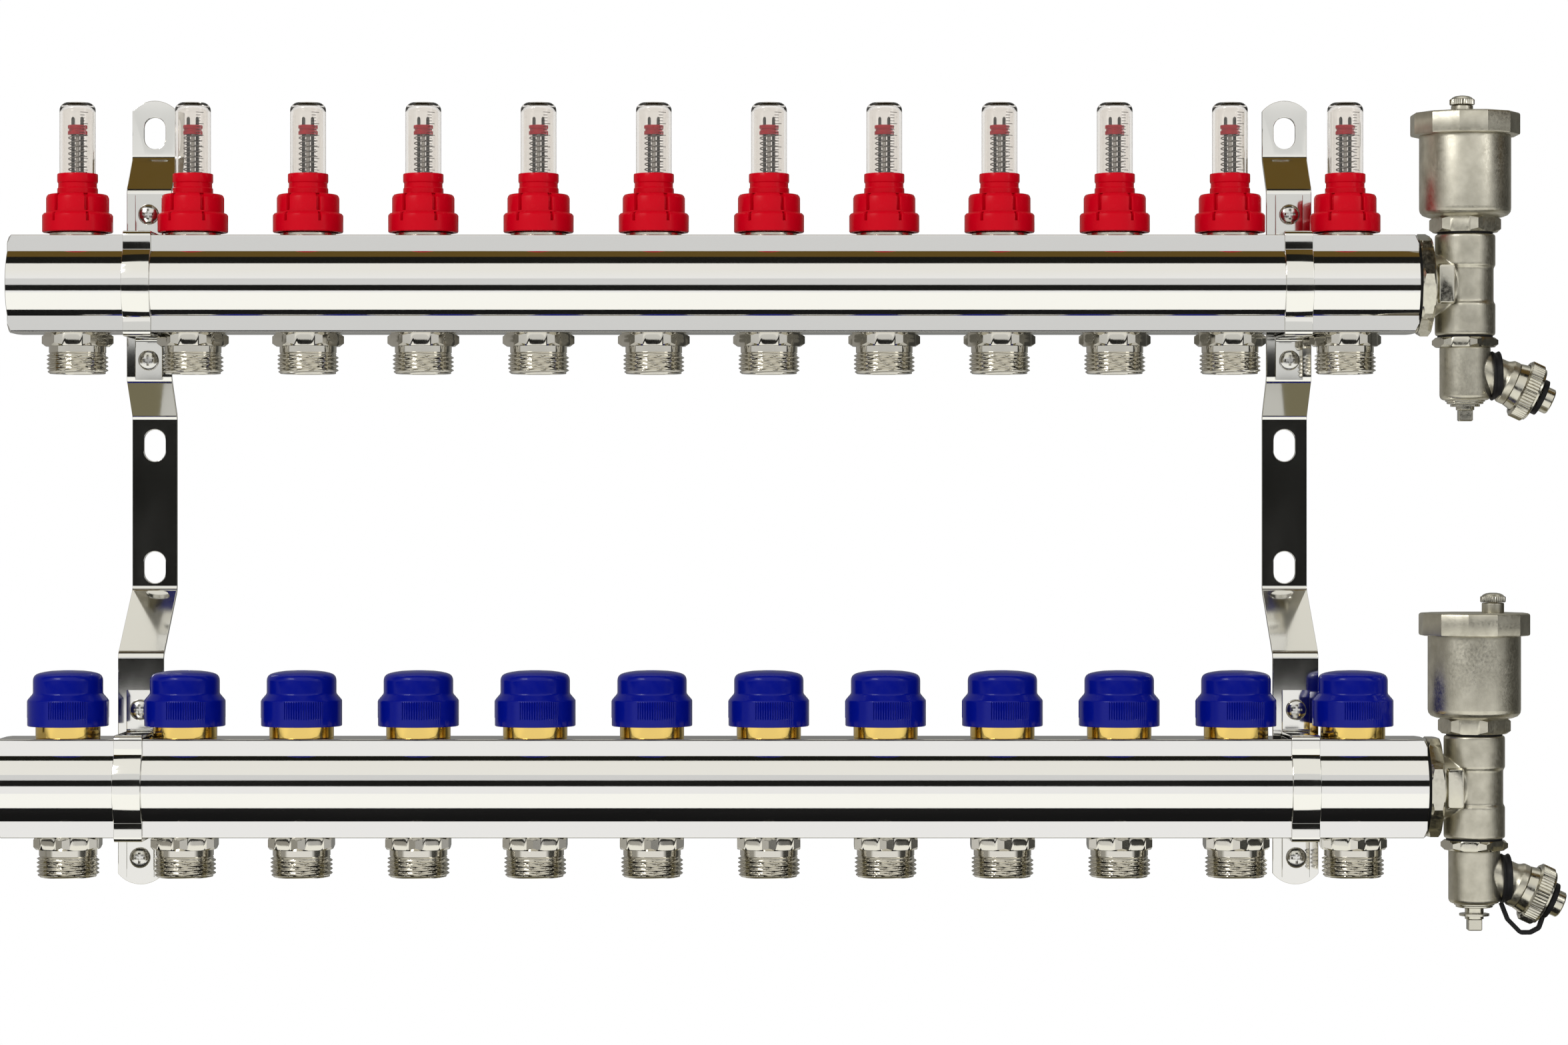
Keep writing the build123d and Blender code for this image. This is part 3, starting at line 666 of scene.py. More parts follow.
def screw_mesh():
    """Pan head with a tapered cross recess, its axis along -Y from the strap."""
    head_r, head_height = 4.5, 3.0
    dome = [
        (head_r * cos(a), 0.9 + (head_height - 0.9) * sin(a)) for a in [radians(10 * k) for k in range(9)]
    ]
    profile = [(2.5, -6.0), (2.5, 0.0), (head_r - 0.2, 0.0), (head_r, 0.2)] + dome + [(0.4, head_height)]
    head = new_mesh("screw", *turned(soften(profile, 0.15), 64))
    cutter_verts, cutter_faces = joined(*[
        moved(
            loft([
                [(-1.5, -0.35, 1.1), (1.5, -0.35, 1.1), (1.5, 0.35, 1.1), (-1.5, 0.35, 1.1)],
                [(-2.7, -0.6, 3.2), (2.7, -0.6, 3.2), (2.7, 0.6, 3.2), (-2.7, 0.6, 3.2)],
            ]),
            turn(angle, "Z"),
        )
        for angle in (0, 90)
    ])
    cutter = bpy.data.objects.new("cutter", new_mesh("cutter", cutter_verts, cutter_faces))
    obj = bpy.data.objects.new("screw", head)
    for o in (cutter, obj):
        bpy.context.scene.collection.objects.link(o)
    cut = obj.modifiers.new("recess", "BOOLEAN")
    cut.operation = "DIFFERENCE"
    cut.solver = "EXACT"
    cut.use_self = True
    cut.object = cutter
    mesh = bpy.data.meshes.new_from_object(obj.evaluated_get(bpy.context.evaluated_depsgraph_get()))
    bpy.data.objects.remove(obj)
    bpy.data.objects.remove(cutter)
    mesh.transform(turn(90, "X"))
    finish_mesh(mesh, 30)
    return mesh


screw = screw_mesh()
screw_offset = 32.0
for level, centre in (("upper", supply), ("lower", back)):
    for side, x in (("left", 0.0), ("right", right_bracket_x)):
        put(
            f"{level}_{side}_clamp_strap", strap, bracket_chrome, (x, centre.y, centre.z),
            nodes=["clamp_straps"],
        )
        for place, z in (("top", screw_offset), ("bottom", -screw_offset)):
            put(
                f"{level}_{side}_{place}_screw", screw, screw_plate,
                (x, centre.y + foot_y - strap_thickness / 2, centre.z + z),
                nodes=["clamp_screws"],
            )


# ---------------------------------------------------------------- outlets

outlet_low, _ = box_mm("circuit_outlets")
outlet_length = back.z - half_height - outlet_low.z
outlet_pitch = 1.814


def outlet_mesh(name, hexagon_turn):
    """Threaded outlet hanging from the bar's underside, open through the middle."""
    hexagon_low, neck_low = -5.6, -8.7
    thread_r, root_r = 13.22, 12.1
    rings = []

    def ring(radius, z):
        return [
            (
                (radius(a) if callable(radius) else radius) * cos(a),
                (radius(a) if callable(radius) else radius) * sin(a), z,
            )
            for a in [2 * pi * i / ROUND for i in range(ROUND)]
        ]

    verts, faces = polygon_prism(6, 27.0, hexagon_low, 0.0, inner=9.0)
    hexagon = moved((verts, faces), turn(hexagon_turn, "Z"))
    rings = [
        ring(7.5, 6.0), ring(9.0, 6.0), ring(9.0, -3.0), ring(12.0, -3.2), ring(12.3, -3.4),
        ring(12.3, neck_low + 0.4),
    ]
    rings.append(ring(11.9, neck_low))
    steps = 60
    length = outlet_length + neck_low
    for k in range(steps + 1):
        depth = length * k / steps
        z = neck_low - depth
        lead = min(1.0, depth / 0.9, (length - depth) / 1.1)
        rings.append(ring(
            lambda a, d=depth, f=lead: root_r
            - 0.2 * (1 - f) + (thread_r - root_r) * thread_wave(d / outlet_pitch + a / (2 * pi)) * f,
            z,
        ))
    rings += [ring(11.6, -outlet_length), ring(9.4, -outlet_length), ring(9.2, -outlet_length + 0.2)]
    rings += [ring(7.5, -8.0)]
    body = loft(rings, closed=True)
    return new_mesh(name, *joined(hexagon, body), 32)


outlet_meshes = {"supply": outlet_mesh("supply_outlet", 30), "return": outlet_mesh("return_outlet", 0)}
for side, centre in (("supply", supply), ("return", back)):
    for n, x in enumerate(circuit_x, start=1):
        put(
            f"{side}_outlet_{n:02d}", outlet_meshes[side], outlet_nickel,
            (x, centre.y, centre.z - half_height), nodes=["circuit_outlets"],
        )


# ---------------------------------------------------------------- flow meters

glass_seat, glass_top, glass_r, glass_wall = 14.0, 58.2, 7.75, 1.2
dome_r, inner_dome_r, dome_drop = 3.4, 2.2, 4.2
rail_offset, rail_width, rail_depth, rail_top = 1.95, 1.3, 1.6, 52.0
disc_low, disc_high, disc_r = 44.2, 48.3, 4.2

rail_corners = [
    (a * rail_width / 2, b * rail_depth / 2) for a, b in ((-1, -1), (1, -1), (1, 1), (-1, 1))
]

meter_insert = new_mesh("meter_insert", *joined(
    turned(
        soften([
            (9.0, -6.5), (9.0, 0), (11.9, 0), (12.0, 0.2), (12.0, 1.6),
            (10.5, 1.7), (10.5, glass_seat), (1.5, glass_seat), (1.5, -6.5),
        ], 0.2, closed=True),
        closed=True,
    ),
))
rails = new_mesh("rails", *joined(*[
    loft([
        [
            (side * rail_offset + u * s, v * s, z)
            for u, v in rail_corners
        ]
        for z, s in ((glass_seat, 1), (rail_top - 1.0, 1), (rail_top - 0.3, 0.8), (rail_top, 0.35))
    ])
    for side in (-1, 1)
]))
glass_round = [
    (glass_r - dome_r + dome_r * sin(a), glass_top - dome_r + dome_r * cos(a))
    for a in [radians(90 - 9 * k) for k in range(11)]
]
inner_r = glass_r - glass_wall
glass_inner = [
    (inner_r - inner_dome_r + inner_dome_r * sin(a), glass_top - dome_drop + inner_dome_r * cos(a))
    for a in [radians(9 * k) for k in range(11)]
]
glass = new_mesh("sight_glass", *turned(
    [(glass_r, glass_seat)] + glass_round + [
        (0.05, glass_top), (0.05, glass_top - 2.0),
    ] + glass_inner + [(inner_r, glass_seat)],
    72, closed=True,
))


def scale_marks():
    """Short printed ticks round the right of the glass."""
    solids = []
    for k in range(21):
        z = 20.5 + 1.25 * k + 8.0
        if z > 54:
            break
        span = 26 if k % 4 == 0 else 15
        arc = [radians(-72 + span * i / 6) for i in range(7)]
        rings = []
        for a in arc:
            rings.append(
                [
                    (r * cos(a), r * sin(a), z + h)
                    for r, h in (
                        (glass_r, -0.12), (glass_r + 0.03, -0.12), (glass_r + 0.03, 0.12), (glass_r, 0.12),
                    )
                ]
            )
        solids.append(loft(rings))
    return new_mesh("scale_marks", *joined(*solids))


marks = scale_marks()


def slotted(r, z, angle):
    """Six slots in each tier of the red cap."""
    nearest = (degrees(angle) - 56.4 + 30) % 60 - 30
    if 11.0 <= z <= 18.1 and r > 12.6:
        depth, half = 1.75, 2.9 + 1.6 * max(0.0, z - 16.0) / 2
    elif 6.4 <= z <= 10.0 and r > 14.4:
        depth, half = 1.7, 2.2
    else:
        return r, z
    cut = min(1.0, max(0.0, half - abs(nearest) + 0.5))
    return r - depth * cut, z


cap_profile = [
    (13.2, 1.8), (14.9, 1.8), (15.2, 2.2), (15.2, 4.2), (15.2, 6.2), (15.2, 6.4), (15.2, 9.0),
    (15.1, 9.3), (14.5, 10.0), (13.7, 10.1),
    (13.5, 10.4), (13.5, 10.8), (13.5, 11.0), (13.5, 16.6), (13.4, 16.9), (13.2, 17.5), (12.7, 18.1),
    (12.0, 18.3),
    (9.1, 18.4), (8.75, 18.8), (8.7, 20.8), (8.35, 21.2), (8.3, 23.1), (8.65, 23.5), (8.75, 24.0),
    (8.75, 26.8), (8.6, 27.2),
    (8.3, 27.3), (8.05, 27.2), (8.05, 16.4), (11.7, 16.4), (11.7, 8.2), (13.2, 8.2),
]
red_cap = new_mesh("balancing_cap", *turned(cap_profile, 360, slotted, closed=True), 28)

spring_turns = 13
spring_low, spring_high, spring_r, wire_r = glass_seat + 0.3, disc_low - 0.3, 3.85, 0.27


def spring_mesh():
    rings = []
    steps = spring_turns * 24
    for k in range(steps + 1):
        a = 2 * pi * k / 24
        t = k / steps
        z = spring_low + (spring_high - spring_low) * t
        rings.append([
            (
                (spring_r + wire_r * cos(b)) * cos(a), (spring_r + wire_r * cos(b)) * sin(a),
                z + wire_r * sin(b),
            )
            for b in [2 * pi * i / 8 for i in range(8)]
        ])
    return new_mesh("spring", *loft(rings), 60)


spring = spring_mesh()
indicator = new_mesh("indicator", *joined(
    turned(soften([
        (2.95, disc_low), (4.1, disc_low), (disc_r, 44.4), (disc_r, 45.7), (3.75, 45.9), (3.75, 46.7),
        (disc_r, 46.9),
        (disc_r, 48.1), (4.1, disc_high), (2.95, disc_high),
    ], 0.1, closed=True), 64, closed=True),
    block((-0.6, -3.1, 45.4), (0.6, 3.1, 47.0)),
))
indicator_rod = new_mesh("indicator_rod", *joined(
    turned([(0.8, -12.0), (0.8, 48.6)], 24),
    turned([(0.8, -12.0), (6.0, -12.0), (6.0, -10.0), (0.8, -10.0)], 48, closed=True),
))
for n, x in enumerate(circuit_x, start=1):
    where = (x, supply.y, supply_top)
    put(
        f"meter_insert_{n:02d}", meter_insert, machined_nickel, where,
        nodes=["meter_inserts"],
    )
    put(f"meter_rails_{n:02d}", rails, rail_dark, where, nodes=["meter_inserts"])
    put(f"sight_glass_{n:02d}", glass, clear_tube, where, nodes=["sight_glasses"])
    put(f"scale_marks_{n:02d}", marks, ink, where)
    coil = put(
        f"meter_spring_{n:02d}", spring, spring_wire, where, nodes=["meter_springs"],
    )
    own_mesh(coil)
    name = f"flow_indicator_{n:02d}"
    put(f"{name}_disc", indicator, indicator_red, where, body=name, nodes=[name])
    put(f"{name}_rod", indicator_rod, pale_rod, where, body=name, nodes=[name])
    name = f"balancing_cap_{n:02d}"
    put(f"{name}_red", red_cap, red_plastic, where, body=name, nodes=[name])


# ---------------------------------------------------------------- shut-off valves

valve_insert = new_mesh("valve_insert", *turned(soften([
    (0.1, -31.0), (8.0, -31.0), (8.0, -28.5), (2.0, -28.5), (2.0, -6.5), (10.0, -6.5), (10.0, 0),
    (13.55, 0), (13.75, 0.2), (13.75, 6.0),
    (14.85, 6.4), (14.85, 14.0), (10.0, 14.2), (10.0, 17.0), (2.0, 17.0), (2.0, 21.0), (0.1, 21.0),
], 0.15)))


def ribbed(r, z, angle):
    """Three ribbed panels round the blue cap's ring."""
    if r < 17.0 or not 8.7 <= z <= 15.6:
        return r, z
    seen = (degrees(angle) + 90 + 18.6) % 120
    if seen > 56.6:
        return r, z
    return r + 0.12 - 0.5 * (0.5 + 0.5 * cos(2 * pi * seen / 3.54)) ** 2, z


blue_profile = [
    (15.3, 5.0), (16.9, 5.0), (17.2, 5.2), (17.25, 5.6), (17.25, 8.3), (17.25, 8.7), (17.25, 15.6),
    (17.25, 15.9), (17.1, 16.2),
    (16.9, 16.5), (15.2, 18.5), (14.95, 18.9), (14.85, 19.4), (14.85, 24.4), (14.75, 25.3), (14.45, 26.1),
    (13.9, 26.8),
    (13.1, 27.3), (12.0, 27.7), (10.0, 28.15), (7.5, 28.5), (5.0, 28.64), (3.3, 28.68), (3.0, 28.6),
    (2.7, 28.4), (0.1, 28.35),
    (0.1, 25.6), (12.8, 25.6), (12.8, 16.5), (15.3, 14.6),
]
blue_cap = new_mesh("shutoff_cap", *turned(blue_profile, 720, ribbed, closed=True), 28)
for n, x in enumerate(circuit_x, start=1):
    where = (x, back.y, return_top)
    put(f"valve_insert_{n:02d}", valve_insert, brass, where, nodes=["valve_inserts"])
    name = f"shutoff_cap_{n:02d}"
    put(f"{name}_blue", blue_cap, blue_plastic, where, body=name, nodes=[name])


# ---------------------------------------------------------------- end fittings

seal = 0.8
flange = bar_right + seal
flange_thickness = 5.5
branch_start = flange + flange_thickness - tee_x
tee_half = 22.0


def end_adapter(name, octagon_turn):
    flange_part = polygon_prism(8, 42.0, 0.0, flange_thickness, inner=8.0, crown=1.02)
    nipple = turned([(8.0, -13.8), (15.0, -13.8), (15.0, 0.1), (8.0, 0.1)], closed=True)
    stub = turned(
        [(8.0, flange_thickness - 0.1), (11.0, flange_thickness - 0.1), (11.0, 11.5), (8.0, 11.5)],
        closed=True,
    )
    along_x = turn(90, "Y")
    return new_mesh(name, *joined(
        moved(flange_part, along_x @ turn(octagon_turn, "Z")), moved(nipple, along_x), moved(stub, along_x),
    ), 30)


tee = cast("tee", [
    turned(soften([
        (12.3, -tee_half), (12.9, -tee_half + 0.4), (13.0, -tee_half + 1.0), (13.0, -8.4), (12.25, -7.3),
        (12.25, 7.3),
        (13.0, 8.4), (13.0, tee_half - 1.0), (12.9, tee_half - 0.4), (12.3, tee_half),
    ], 0.3)),
    moved(
        turned(soften([(13.0, 0), (13.5, 0.5), (13.5, 7.6), (11.2, 11.2), (9.0, -branch_start)], 0.2)),
        shift(branch_start, 0, 0) @ turn(90, "Y"),
    ),
], 0.38, 7)
pad_outline = soften([(-3.3, -8.2), (3.3, -8.2), (3.3, 8.2), (-3.3, 8.2)], 1.3, closed=True, steps=5)
pad_rings = []
for out, inset in ((0.0, -0.5), (1.5, 0.0), (1.9, 0.12), (2.0, 0.4)):
    pad_rings.append([(x * (1 - inset / 3.3), y * (1 - inset / 8.2), out) for x, y in pad_outline])
tee_pad = new_mesh("tee_pad", *moved(loft(pad_rings), shift(branch_start + 5.5, -13.1, 0) @ turn(90, "X")))

vent_profile = soften([
    (8.8, 14.0), (8.8, 23.0), (12.4, 23.0), (12.4, 29.0), (16.2, 29.5), (18.4, 30.3), (19.5, 31.6),
    (19.75, 33.0),
    (19.75, 64.7), (16.5, 64.7), (16.5, 32.5), (4.0, 32.5), (4.0, 14.0),
], 0.4, closed=True)
vent_body = new_mesh("vent_body", *joined(
    turned(vent_profile, closed=True),
    moved(polygon_prism(6, 27.0, tee_half + seal, 29.6, inner=8.8), turn(12, "Z")),
), 30)


def vent_cap_mesh(name, bleed):
    """Twelve-sided cap with the bleed plug's stem at the given place."""
    sides, across = 12, 47.4 * cos(radians(15))
    rings = []

    def ring(cut, z, limit=99.0):
        out = []
        for i in range(ROUND):
            a = 2 * pi * i / ROUND
            r = min(flat_r(a, sides, across) - cut, limit)
            out.append((r * cos(a), r * sin(a), z))
        return out

    rings = [
        ring(0.9, 64.7), ring(0.2, 65.0), ring(0, 65.6), ring(0, 73.4), ring(0.25, 74.0), ring(1.0, 74.4),
        ring(9, 74.45),
    ]
    top = loft(rings)
    stem = moved(
        turned(
            soften([
                (4.4, 74.3), (4.75, 74.5), (4.75, 78.4), (4.4, 78.7), (1.9, 78.7), (1.9, 74.3),
            ], 0.15, closed=True),
            64,
            closed=True,
        ),
        shift(*bleed, 0),
    )
    return new_mesh(name, *joined(top, stem), 25)


def knurled(count, depth, low, high):
    """Returns a shape that cuts a straight knurl between two heights."""

    def shape(r, z, angle):
        if not low <= z <= high:
            return r, z
        return r - depth * (0.5 + 0.5 * cos(count * angle)), z

    return shape


plug_low = 78.9
bleed_plug = new_mesh("bleed_plug", *turned([
    (0.1, 71.0), (1.8, 71.0), (1.8, plug_low), (5.0, plug_low), (5.3, plug_low + 0.2),
    (5.45, plug_low + 0.3), (5.45, plug_low + 2.3),
    (5.2, plug_low + 2.5), (4.9, plug_low + 2.6), (4.2, plug_low + 3.3), (3.0, plug_low + 3.85),
    (1.5, plug_low + 4.1), (0.1, plug_low + 4.1),
], 216, knurled(36, 0.35, plug_low + 0.25, plug_low + 2.35)), 30)

# Drain valve about the tee's centre; its branch slopes down to the right
branch_angle = 25.0
branch_z = -33.5


def along_branch(distance):
    """Places a piece turned about Z on the branch's axis, at a distance from the body's axis."""
    return shift(0, 0, branch_z) @ turn(90 + branch_angle, "Y") @ shift(0, 0, distance)


drain_cast = cast("drain_body", [
    turned(soften([(10.6, -26.8), (11.0, -27.2), (11.0, -48.4), (10.3, -49.6), (9.0, -50.0)], 0.5)),
    moved(
        turned(soften([(8.3, 0), (8.3, 17.0), (9.0, 18.4), (9.7, 19.2), (9.7, 22.4), (8.6, 22.6)], 0.4)),
        along_branch(0),
    ),
], 0.33, 6)
flare_length = 3.6


def threaded(r, z, angle):
    """Smooth flare from the shoulder, then the thread under the cap."""
    if r < 10:
        return r, z
    if z < flare_length:
        return r - 0.8 * (1 - z / flare_length), z
    fade = min(1.0, (z - flare_length) / 0.6, (8.0 - z) / 0.6)
    return r - 1.1 * fade * (1 - thread_wave(z / outlet_pitch + angle / (2 * pi))), z


branch_thread = moved(
    turned(
        [(5.0, 0.0)] + [(10.48, 8.0 * k / 40) for k in range(41)] + [(5.0, 8.0)], ROUND, threaded,
        closed=True,
    ),
    along_branch(22.5),
)
drain_metal = new_mesh("drain_fittings", *joined(
    moved(polygon_prism(6, 25.0, -27.0, -tee_half - seal, inner=5.0), turn(12, "Z")),
    turned([(5.0, -27.0), (8.8, -27.0), (8.8, -14.0), (5.0, -14.0)], closed=True),
    turned(
        soften([
            (4.1, -49.8), (8.6, -49.8), (8.6, -50.5), (7.9, -50.7), (7.9, -51.4), (7.5, -51.6), (4.1, -51.6),
        ], 0.15, closed=True),
        closed=True,
    ),
    branch_thread,
), 30)


def stem_mesh(name, lift):
    """Drain stem: neck, retaining clip with its gap, and a square end."""
    clip = []
    gap = radians(20)
    for k in range(41):
        a = pi / 2 + gap + (2 * pi - 2 * gap) * k / 40
        clip.append(
            [(r * cos(a), r * sin(a), z) for r, z in ((4.0, -54.3), (6.4, -54.3), (6.4, -55.2), (4.0, -55.2))]
        )
    square = []
    for z, half in ((-56.6, 2.6), (-56.9, 3.05), (-61.1, 3.05), (-61.5, 2.7)):
        square.append(
            [
                (x, y, z)
                for x, y in soften([
                    (-half, -half), (half, -half), (half, half), (-half, half),
                ], 0.8, closed=True)
            ]
        )
    solids = [
        turned(
            soften([
                (0.1, -41.5), (6.0, -41.5), (6.0, -43.4), (4.0, -43.6),
                (4.0, -56.5), (3.7, -56.8), (0.1, -56.8),
            ], 0.1),
            64,
        ),
        loft(clip),
        loft(square),
    ]
    return new_mesh(name, *moved(joined(*solids), shift(0, 0, lift)), 30)


drain_cap = new_mesh("drain_cap", *moved(
    turned([
        (10.9, 26.0), (12.0, 26.0), (12.7, 26.7), (13.0, 26.9), (13.0, 32.0), (12.7, 32.3), (12.0, 32.6),
        (11.8, 33.4), (11.4, 33.6),
        (6.6, 33.6), (5.0, 33.9), (5.0, 35.8), (5.65, 36.0), (5.65, 40.5), (5.2, 41.0), (4.6, 41.0),
        (4.4, 40.2), (0.1, 40.2),
        (0.1, 31.2), (10.9, 31.2),
    ], 360, knurled(60, 0.5, 26.85, 32.05), closed=True),
    along_branch(0),
), 28)

# Rubber pieces
bar_seal = moved(
    turned([(mouth_minor_r, 0), (19.15, 0), (19.15, seal), (mouth_minor_r, seal)], closed=True),
    shift(bar_right - tee_x, 0, 0) @ turn(90, "Y"),
)
mouth_seals = [
    turned(
        [(9.0, z), (11.95, z), (11.95, z + seal), (9.0, z + seal)], closed=True,
    ) for z in (tee_half, -tee_half - seal)
]
tether_ring = moved(
    turned(soften([
        (7.6, 0), (10.4, 0), (10.8, 0.5), (10.1, 1.6), (10.1, 2.3), (10.8, 3.4), (10.4, 3.9), (7.6, 3.9),
    ], 0.3, closed=True), closed=True),
    shift(11.1, 0, -39.4) @ turn(90, "Y"),
)
tether_loop = moved(
    turned(soften([(5.95, 34.7), (8.0, 34.7), (8.0, 36.9), (5.95, 36.9)], 0.4, closed=True), 64, closed=True),
    along_branch(0),
)


def tether_strap(start, outward):
    """Strap from the ring to the loop; outward is the side of the branch that it runs on."""
    along = Vector((cos(radians(branch_angle)), 0, -sin(radians(branch_angle))))
    across = along.cross(outward)
    path = rounded_path([start, (22.7, 15.1), (30.1, 17.9), (33.9, 16.1), (36.4, 12.8), (35.8, 7.2)], 2.0, 8)
    onto = Matrix((across, along, outward)).transposed().to_4x4()
    return moved(strip_along(path, 3.4, 1.8, 0.5), shift(0, 0, branch_z) @ onto)


hanging_down = Vector((-sin(radians(branch_angle)), 0, -cos(radians(branch_angle))))
tether_straps = {
    "supply": tether_strap((14.3, 9.9), Vector((0, 1, 0))),
    "return": tether_strap((17.3, 10.0), hanging_down),
}
bleed = {side: middle_mm(f"{side}_vent_plug") - tee_centres[side] for side in tee_centres}
stem_lift = {"supply": 2.5, "return": 0.0}
octagon_turn = {"supply": 13.0, "return": 0.0}
for side, centre in tee_centres.items():
    def fit(name, mesh, look, node, at=centre):
        """Piece of the fixed body at this side's tee."""
        put(f"{side}_{name}", mesh, look, at, nodes=[node])

    def fit_moving(name, what, mesh, at=centre):
        """Piece that moves with the body of the same name."""
        body = f"{side}_{name}"
        put(f"{body}_{what}", mesh, machined_nickel, at, body=body, nodes=[body])

    adapter = end_adapter(f"{side}_adapter", octagon_turn[side])
    fit("end_adapter", adapter, machined_nickel, "end_adapters", (flange, centre.y, centre.z))
    fit("tee", tee, satin_nickel, "tees")
    fit("tee_pad", tee_pad, machined_nickel, "tees")
    fit("vent_body", vent_body, satin_nickel, "vent_bodies")
    plug_spot = Vector((bleed[side].x, bleed[side].y, 0))
    fit("vent_cap", vent_cap_mesh(f"{side}_vent_cap", (plug_spot.x, plug_spot.y)), satin_nickel, "vent_caps")
    fit_moving("vent_plug", "knurled", bleed_plug, centre + plug_spot)
    fit("drain_body", drain_cast, satin_nickel, "drain_bodies")
    fit("drain_fittings", drain_metal, machined_nickel, "drain_bodies")
    fit_moving("drain_stem", "square", stem_mesh(f"{side}_drain_stem", stem_lift[side]))
    fit_moving("drain_cap", "knurled", drain_cap)
    rubber_solids = joined(bar_seal, *mouth_seals, tether_ring, tether_loop, tether_straps[side])
    rubber = new_mesh(f"{side}_rubber", *rubber_solids, 40)
    fit("seals_and_tether", rubber, black_rubber, "rubber_seals_and_tethers")
    float_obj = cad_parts[f"{side}_vent_float"]
    float_obj.data.materials.clear()
    float_obj.data.materials.append(float_plastic)


# ---------------------------------------------------------------- floor, light and camera


centre_x = (circuit_x[0] + circuit_x[-1]) / 2 * MM


def floor():
    """Pale floor whose edge fades into the background."""
    bpy.ops.mesh.primitive_plane_add(size=8, location=(0.28, 0, -0.6))
    plane = bpy.context.object
    plane.name = "floor"
    mat = material("floor", (0.93, 0.93, 0.92), 0.0, 0.8)
    tree = mat.node_tree
    place = tree.nodes.new("ShaderNodeTexCoord")
    length = tree.nodes.new("ShaderNodeVectorMath")
    length.operation = "LENGTH"
    fade = tree.nodes.new("ShaderNodeMapRange")
    fade.inputs["From Min"].default_value = 0.7
    fade.inputs["From Max"].default_value = 1.9
    fade.inputs["To Min"].default_value = 1.0
    fade.inputs["To Max"].default_value = 0.0
    tree.links.new(place.outputs["Object"], length.inputs[0])
    tree.links.new(length.outputs["Value"], fade.inputs["Value"])
    tree.links.new(fade.outputs["Result"], tree.nodes["Principled BSDF"].inputs["Alpha"])
    plane.data.materials.append(mat)


def card(name, color, size_x, low, high):
    """Flat card between two lines along X, each (y, z) in metres, that only shiny surfaces see."""
    (y0, z0), (y1, z1) = low, high
    left, right = centre_x - size_x / 2, centre_x + size_x / 2
    verts = [(left, y0, z0), (right, y0, z0), (right, y1, z1), (left, y1, z1)]
    mesh = bpy.data.meshes.new(name)
    mesh.from_pydata(verts, [], [(0, 1, 2, 3)])
    obj = bpy.data.objects.new(name, mesh)
    bpy.context.scene.collection.objects.link(obj)
    glow = bpy.data.materials.new(name)
    glow.use_nodes = True
    tree = glow.node_tree
    tree.nodes.clear()
    light = tree.nodes.new("ShaderNodeEmission")
    light.inputs["Color"].default_value = (*color, 1)
    out = tree.nodes.new("ShaderNodeOutputMaterial")
    tree.links.new(light.outputs[0], out.inputs["Surface"])
    mesh.materials.append(glow)
    obj.visible_camera = False
    obj.visible_diffuse = False
    obj.visible_shadow = False
    obj.visible_transmission = False


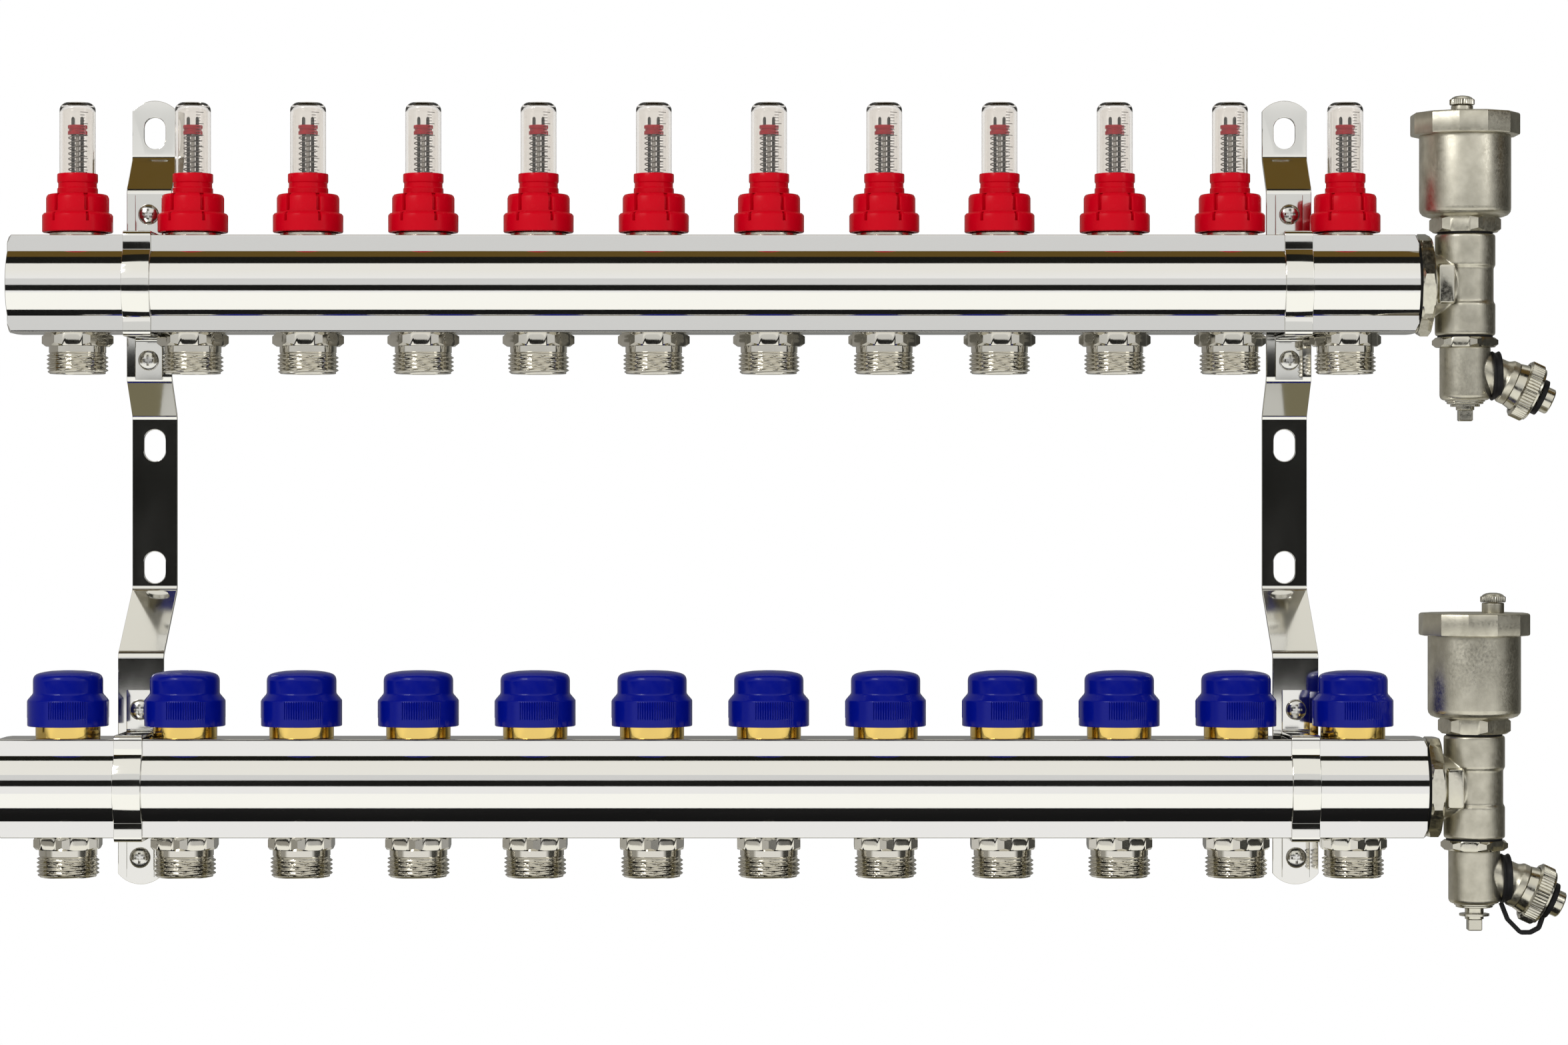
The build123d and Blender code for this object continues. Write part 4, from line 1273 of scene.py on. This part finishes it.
def studio_world():
    """White surroundings with dark gaps: two low and high, and one upright at the right."""
    world = bpy.data.worlds.new("studio")
    bpy.context.scene.world = world
    world.use_nodes = True
    tree = world.node_tree
    tree.nodes.clear()
    place = tree.nodes.new("ShaderNodeTexCoord")
    split = tree.nodes.new("ShaderNodeSeparateXYZ")
    tree.links.new(place.outputs["Generated"], split.inputs[0])

    def math(operation, first, second=None):
        node = tree.nodes.new("ShaderNodeMath")
        node.operation = operation
        for socket, value in zip(node.inputs, (first, second)):
            if value is None:
                continue
            if isinstance(value, (int, float)):
                socket.default_value = value
            else:
                tree.links.new(value, socket)
        return node.outputs[0]

    def ramp(source, stops):
        node = tree.nodes.new("ShaderNodeValToRGB")
        elements = node.color_ramp.elements
        while len(elements) < len(stops):
            elements.new(0.5)
        for element, (position, color) in zip(elements, stops):
            element.position = position
            element.color = (*color, 1)
        tree.links.new(source, node.inputs["Fac"])
        return node.outputs["Color"]

    def height(angle):
        return (angle + 90) / 180

    white, cream, grey = (1, 1, 1), (0.97, 0.96, 0.91), (0.9, 0.9, 0.88)
    black, olive = (0.012, 0.012, 0.01), (0.45, 0.42, 0.32)
    behind, dark = (0.2, 0.2, 0.19), (0.05, 0.05, 0.045)
    elevation = math("ADD", math("DIVIDE", math("ARCSINE", split.outputs["Z"]), pi), 0.5)
    rise = ramp(elevation, [
        (height(-90), grey), (height(-30), white), (height(12), white), (height(35), cream),
        (height(66), cream), (height(90), olive),
    ])
    heading = math("ARCTAN2", split.outputs["X"], math("MULTIPLY", split.outputs["Y"], -1))
    around = math("ADD", math("DIVIDE", heading, 2 * pi), 0.5)

    def bearing(angle):
        return (angle + 180) / 360

    side = ramp(around, [
        (bearing(-180), behind), (bearing(-150), (0.35, 0.34, 0.32)), (bearing(-64), (0.36, 0.35, 0.32)),
        (bearing(-52), white), (bearing(46), white), (bearing(62), dark),
        (bearing(125), dark), (bearing(150), (0.3, 0.3, 0.28)), (bearing(180), behind),
    ])
    level = ramp(
        elevation, [(height(-66), black), (height(-50), white), (height(45), white), (height(60), black)],
    )
    mix_side = tree.nodes.new("ShaderNodeMix")
    mix_side.data_type = "RGBA"
    mix_side.blend_type = "MULTIPLY"
    tree.links.new(level, mix_side.inputs["Factor"])
    tree.links.new(rise, mix_side.inputs["A"])
    tree.links.new(side, mix_side.inputs["B"])
    seen = tree.nodes.new("ShaderNodeBackground")
    seen.inputs["Color"].default_value = (1, 1, 1, 1)
    seen.inputs["Strength"].default_value = 1.0
    felt = tree.nodes.new("ShaderNodeBackground")
    felt.inputs["Strength"].default_value = 1.0
    tree.links.new(mix_side.outputs["Result"], felt.inputs["Color"])
    path = tree.nodes.new("ShaderNodeLightPath")
    choose = tree.nodes.new("ShaderNodeMixShader")
    out = tree.nodes.new("ShaderNodeOutputWorld")
    direct = math("MAXIMUM", path.outputs["Is Camera Ray"], path.outputs["Is Transmission Ray"])
    tree.links.new(direct, choose.inputs["Fac"])
    tree.links.new(felt.outputs[0], choose.inputs[1])
    tree.links.new(seen.outputs[0], choose.inputs[2])
    tree.links.new(choose.outputs[0], out.inputs["Surface"])


def softbox(name, where, target, size_x, size_y, power):
    light = bpy.data.lights.new(name, "AREA")
    light.shape = "RECTANGLE"
    light.size = size_x
    light.size_y = size_y
    light.energy = power
    obj = bpy.data.objects.new(name, light)
    bpy.context.scene.collection.objects.link(obj)
    obj.location = where
    obj.rotation_euler = (Vector(target) - Vector(where)).to_track_quat("-Z", "Y").to_euler()


floor()
studio_world()
card("front_gap", (0.01, 0.01, 0.009), 5.0, (-0.64, -0.078), (-0.64, 0.074))
card("front_grey", (0.76, 0.765, 0.765), 5.0, (-0.64, 0.074), (-0.64, 0.24))
card("top_gap", (0.01, 0.01, 0.008), 4.0, (-0.24, 0.35), (-0.13, 0.35))
card("top_olive", (0.13, 0.08, 0.018), 4.0, (-0.13, 0.35), (0.03, 0.35))
card("under_gap", (0.01, 0.01, 0.01), 4.0, (-0.22, -0.3), (-0.06, -0.3))
card("under_white", (1.15, 1.15, 1.10), 5.0, (-1.6, -0.5), (-0.24, -0.5))
card("under_olive", (0.20, 0.18, 0.11), 4.0, (-0.06, -0.3), (0.08, -0.3))
softbox("key", (centre_x - 1.1, -1.3, 1.1), (centre_x, 0, 0), 0.5, 0.7, 7)
softbox("spark", (centre_x - 0.9, -1.5, 1.0), (centre_x, 0, 0), 0.16, 0.22, 2.5)
softbox("fill", (centre_x + 1.4, -1.0, 0.5), (centre_x, 0, 0), 0.4, 0.9, 2)

camera = bpy.data.cameras.new("camera")
camera_obj = bpy.data.objects.new("camera", camera)
bpy.context.scene.collection.objects.link(camera_obj)
frame_width = 2352
distance = 1.80
scale_px_per_m = 3457
camera.sensor_width = 36
camera.lens = 36 * scale_px_per_m * distance / frame_width
camera.shift_y = -19 / frame_width
camera_obj.location = (0.2785, supply.y * MM - distance, -0.0015)
camera_obj.rotation_euler = (pi / 2, 0, 0)
bpy.context.scene.camera = camera_obj
bpy.context.scene.view_settings.view_transform = "Standard"
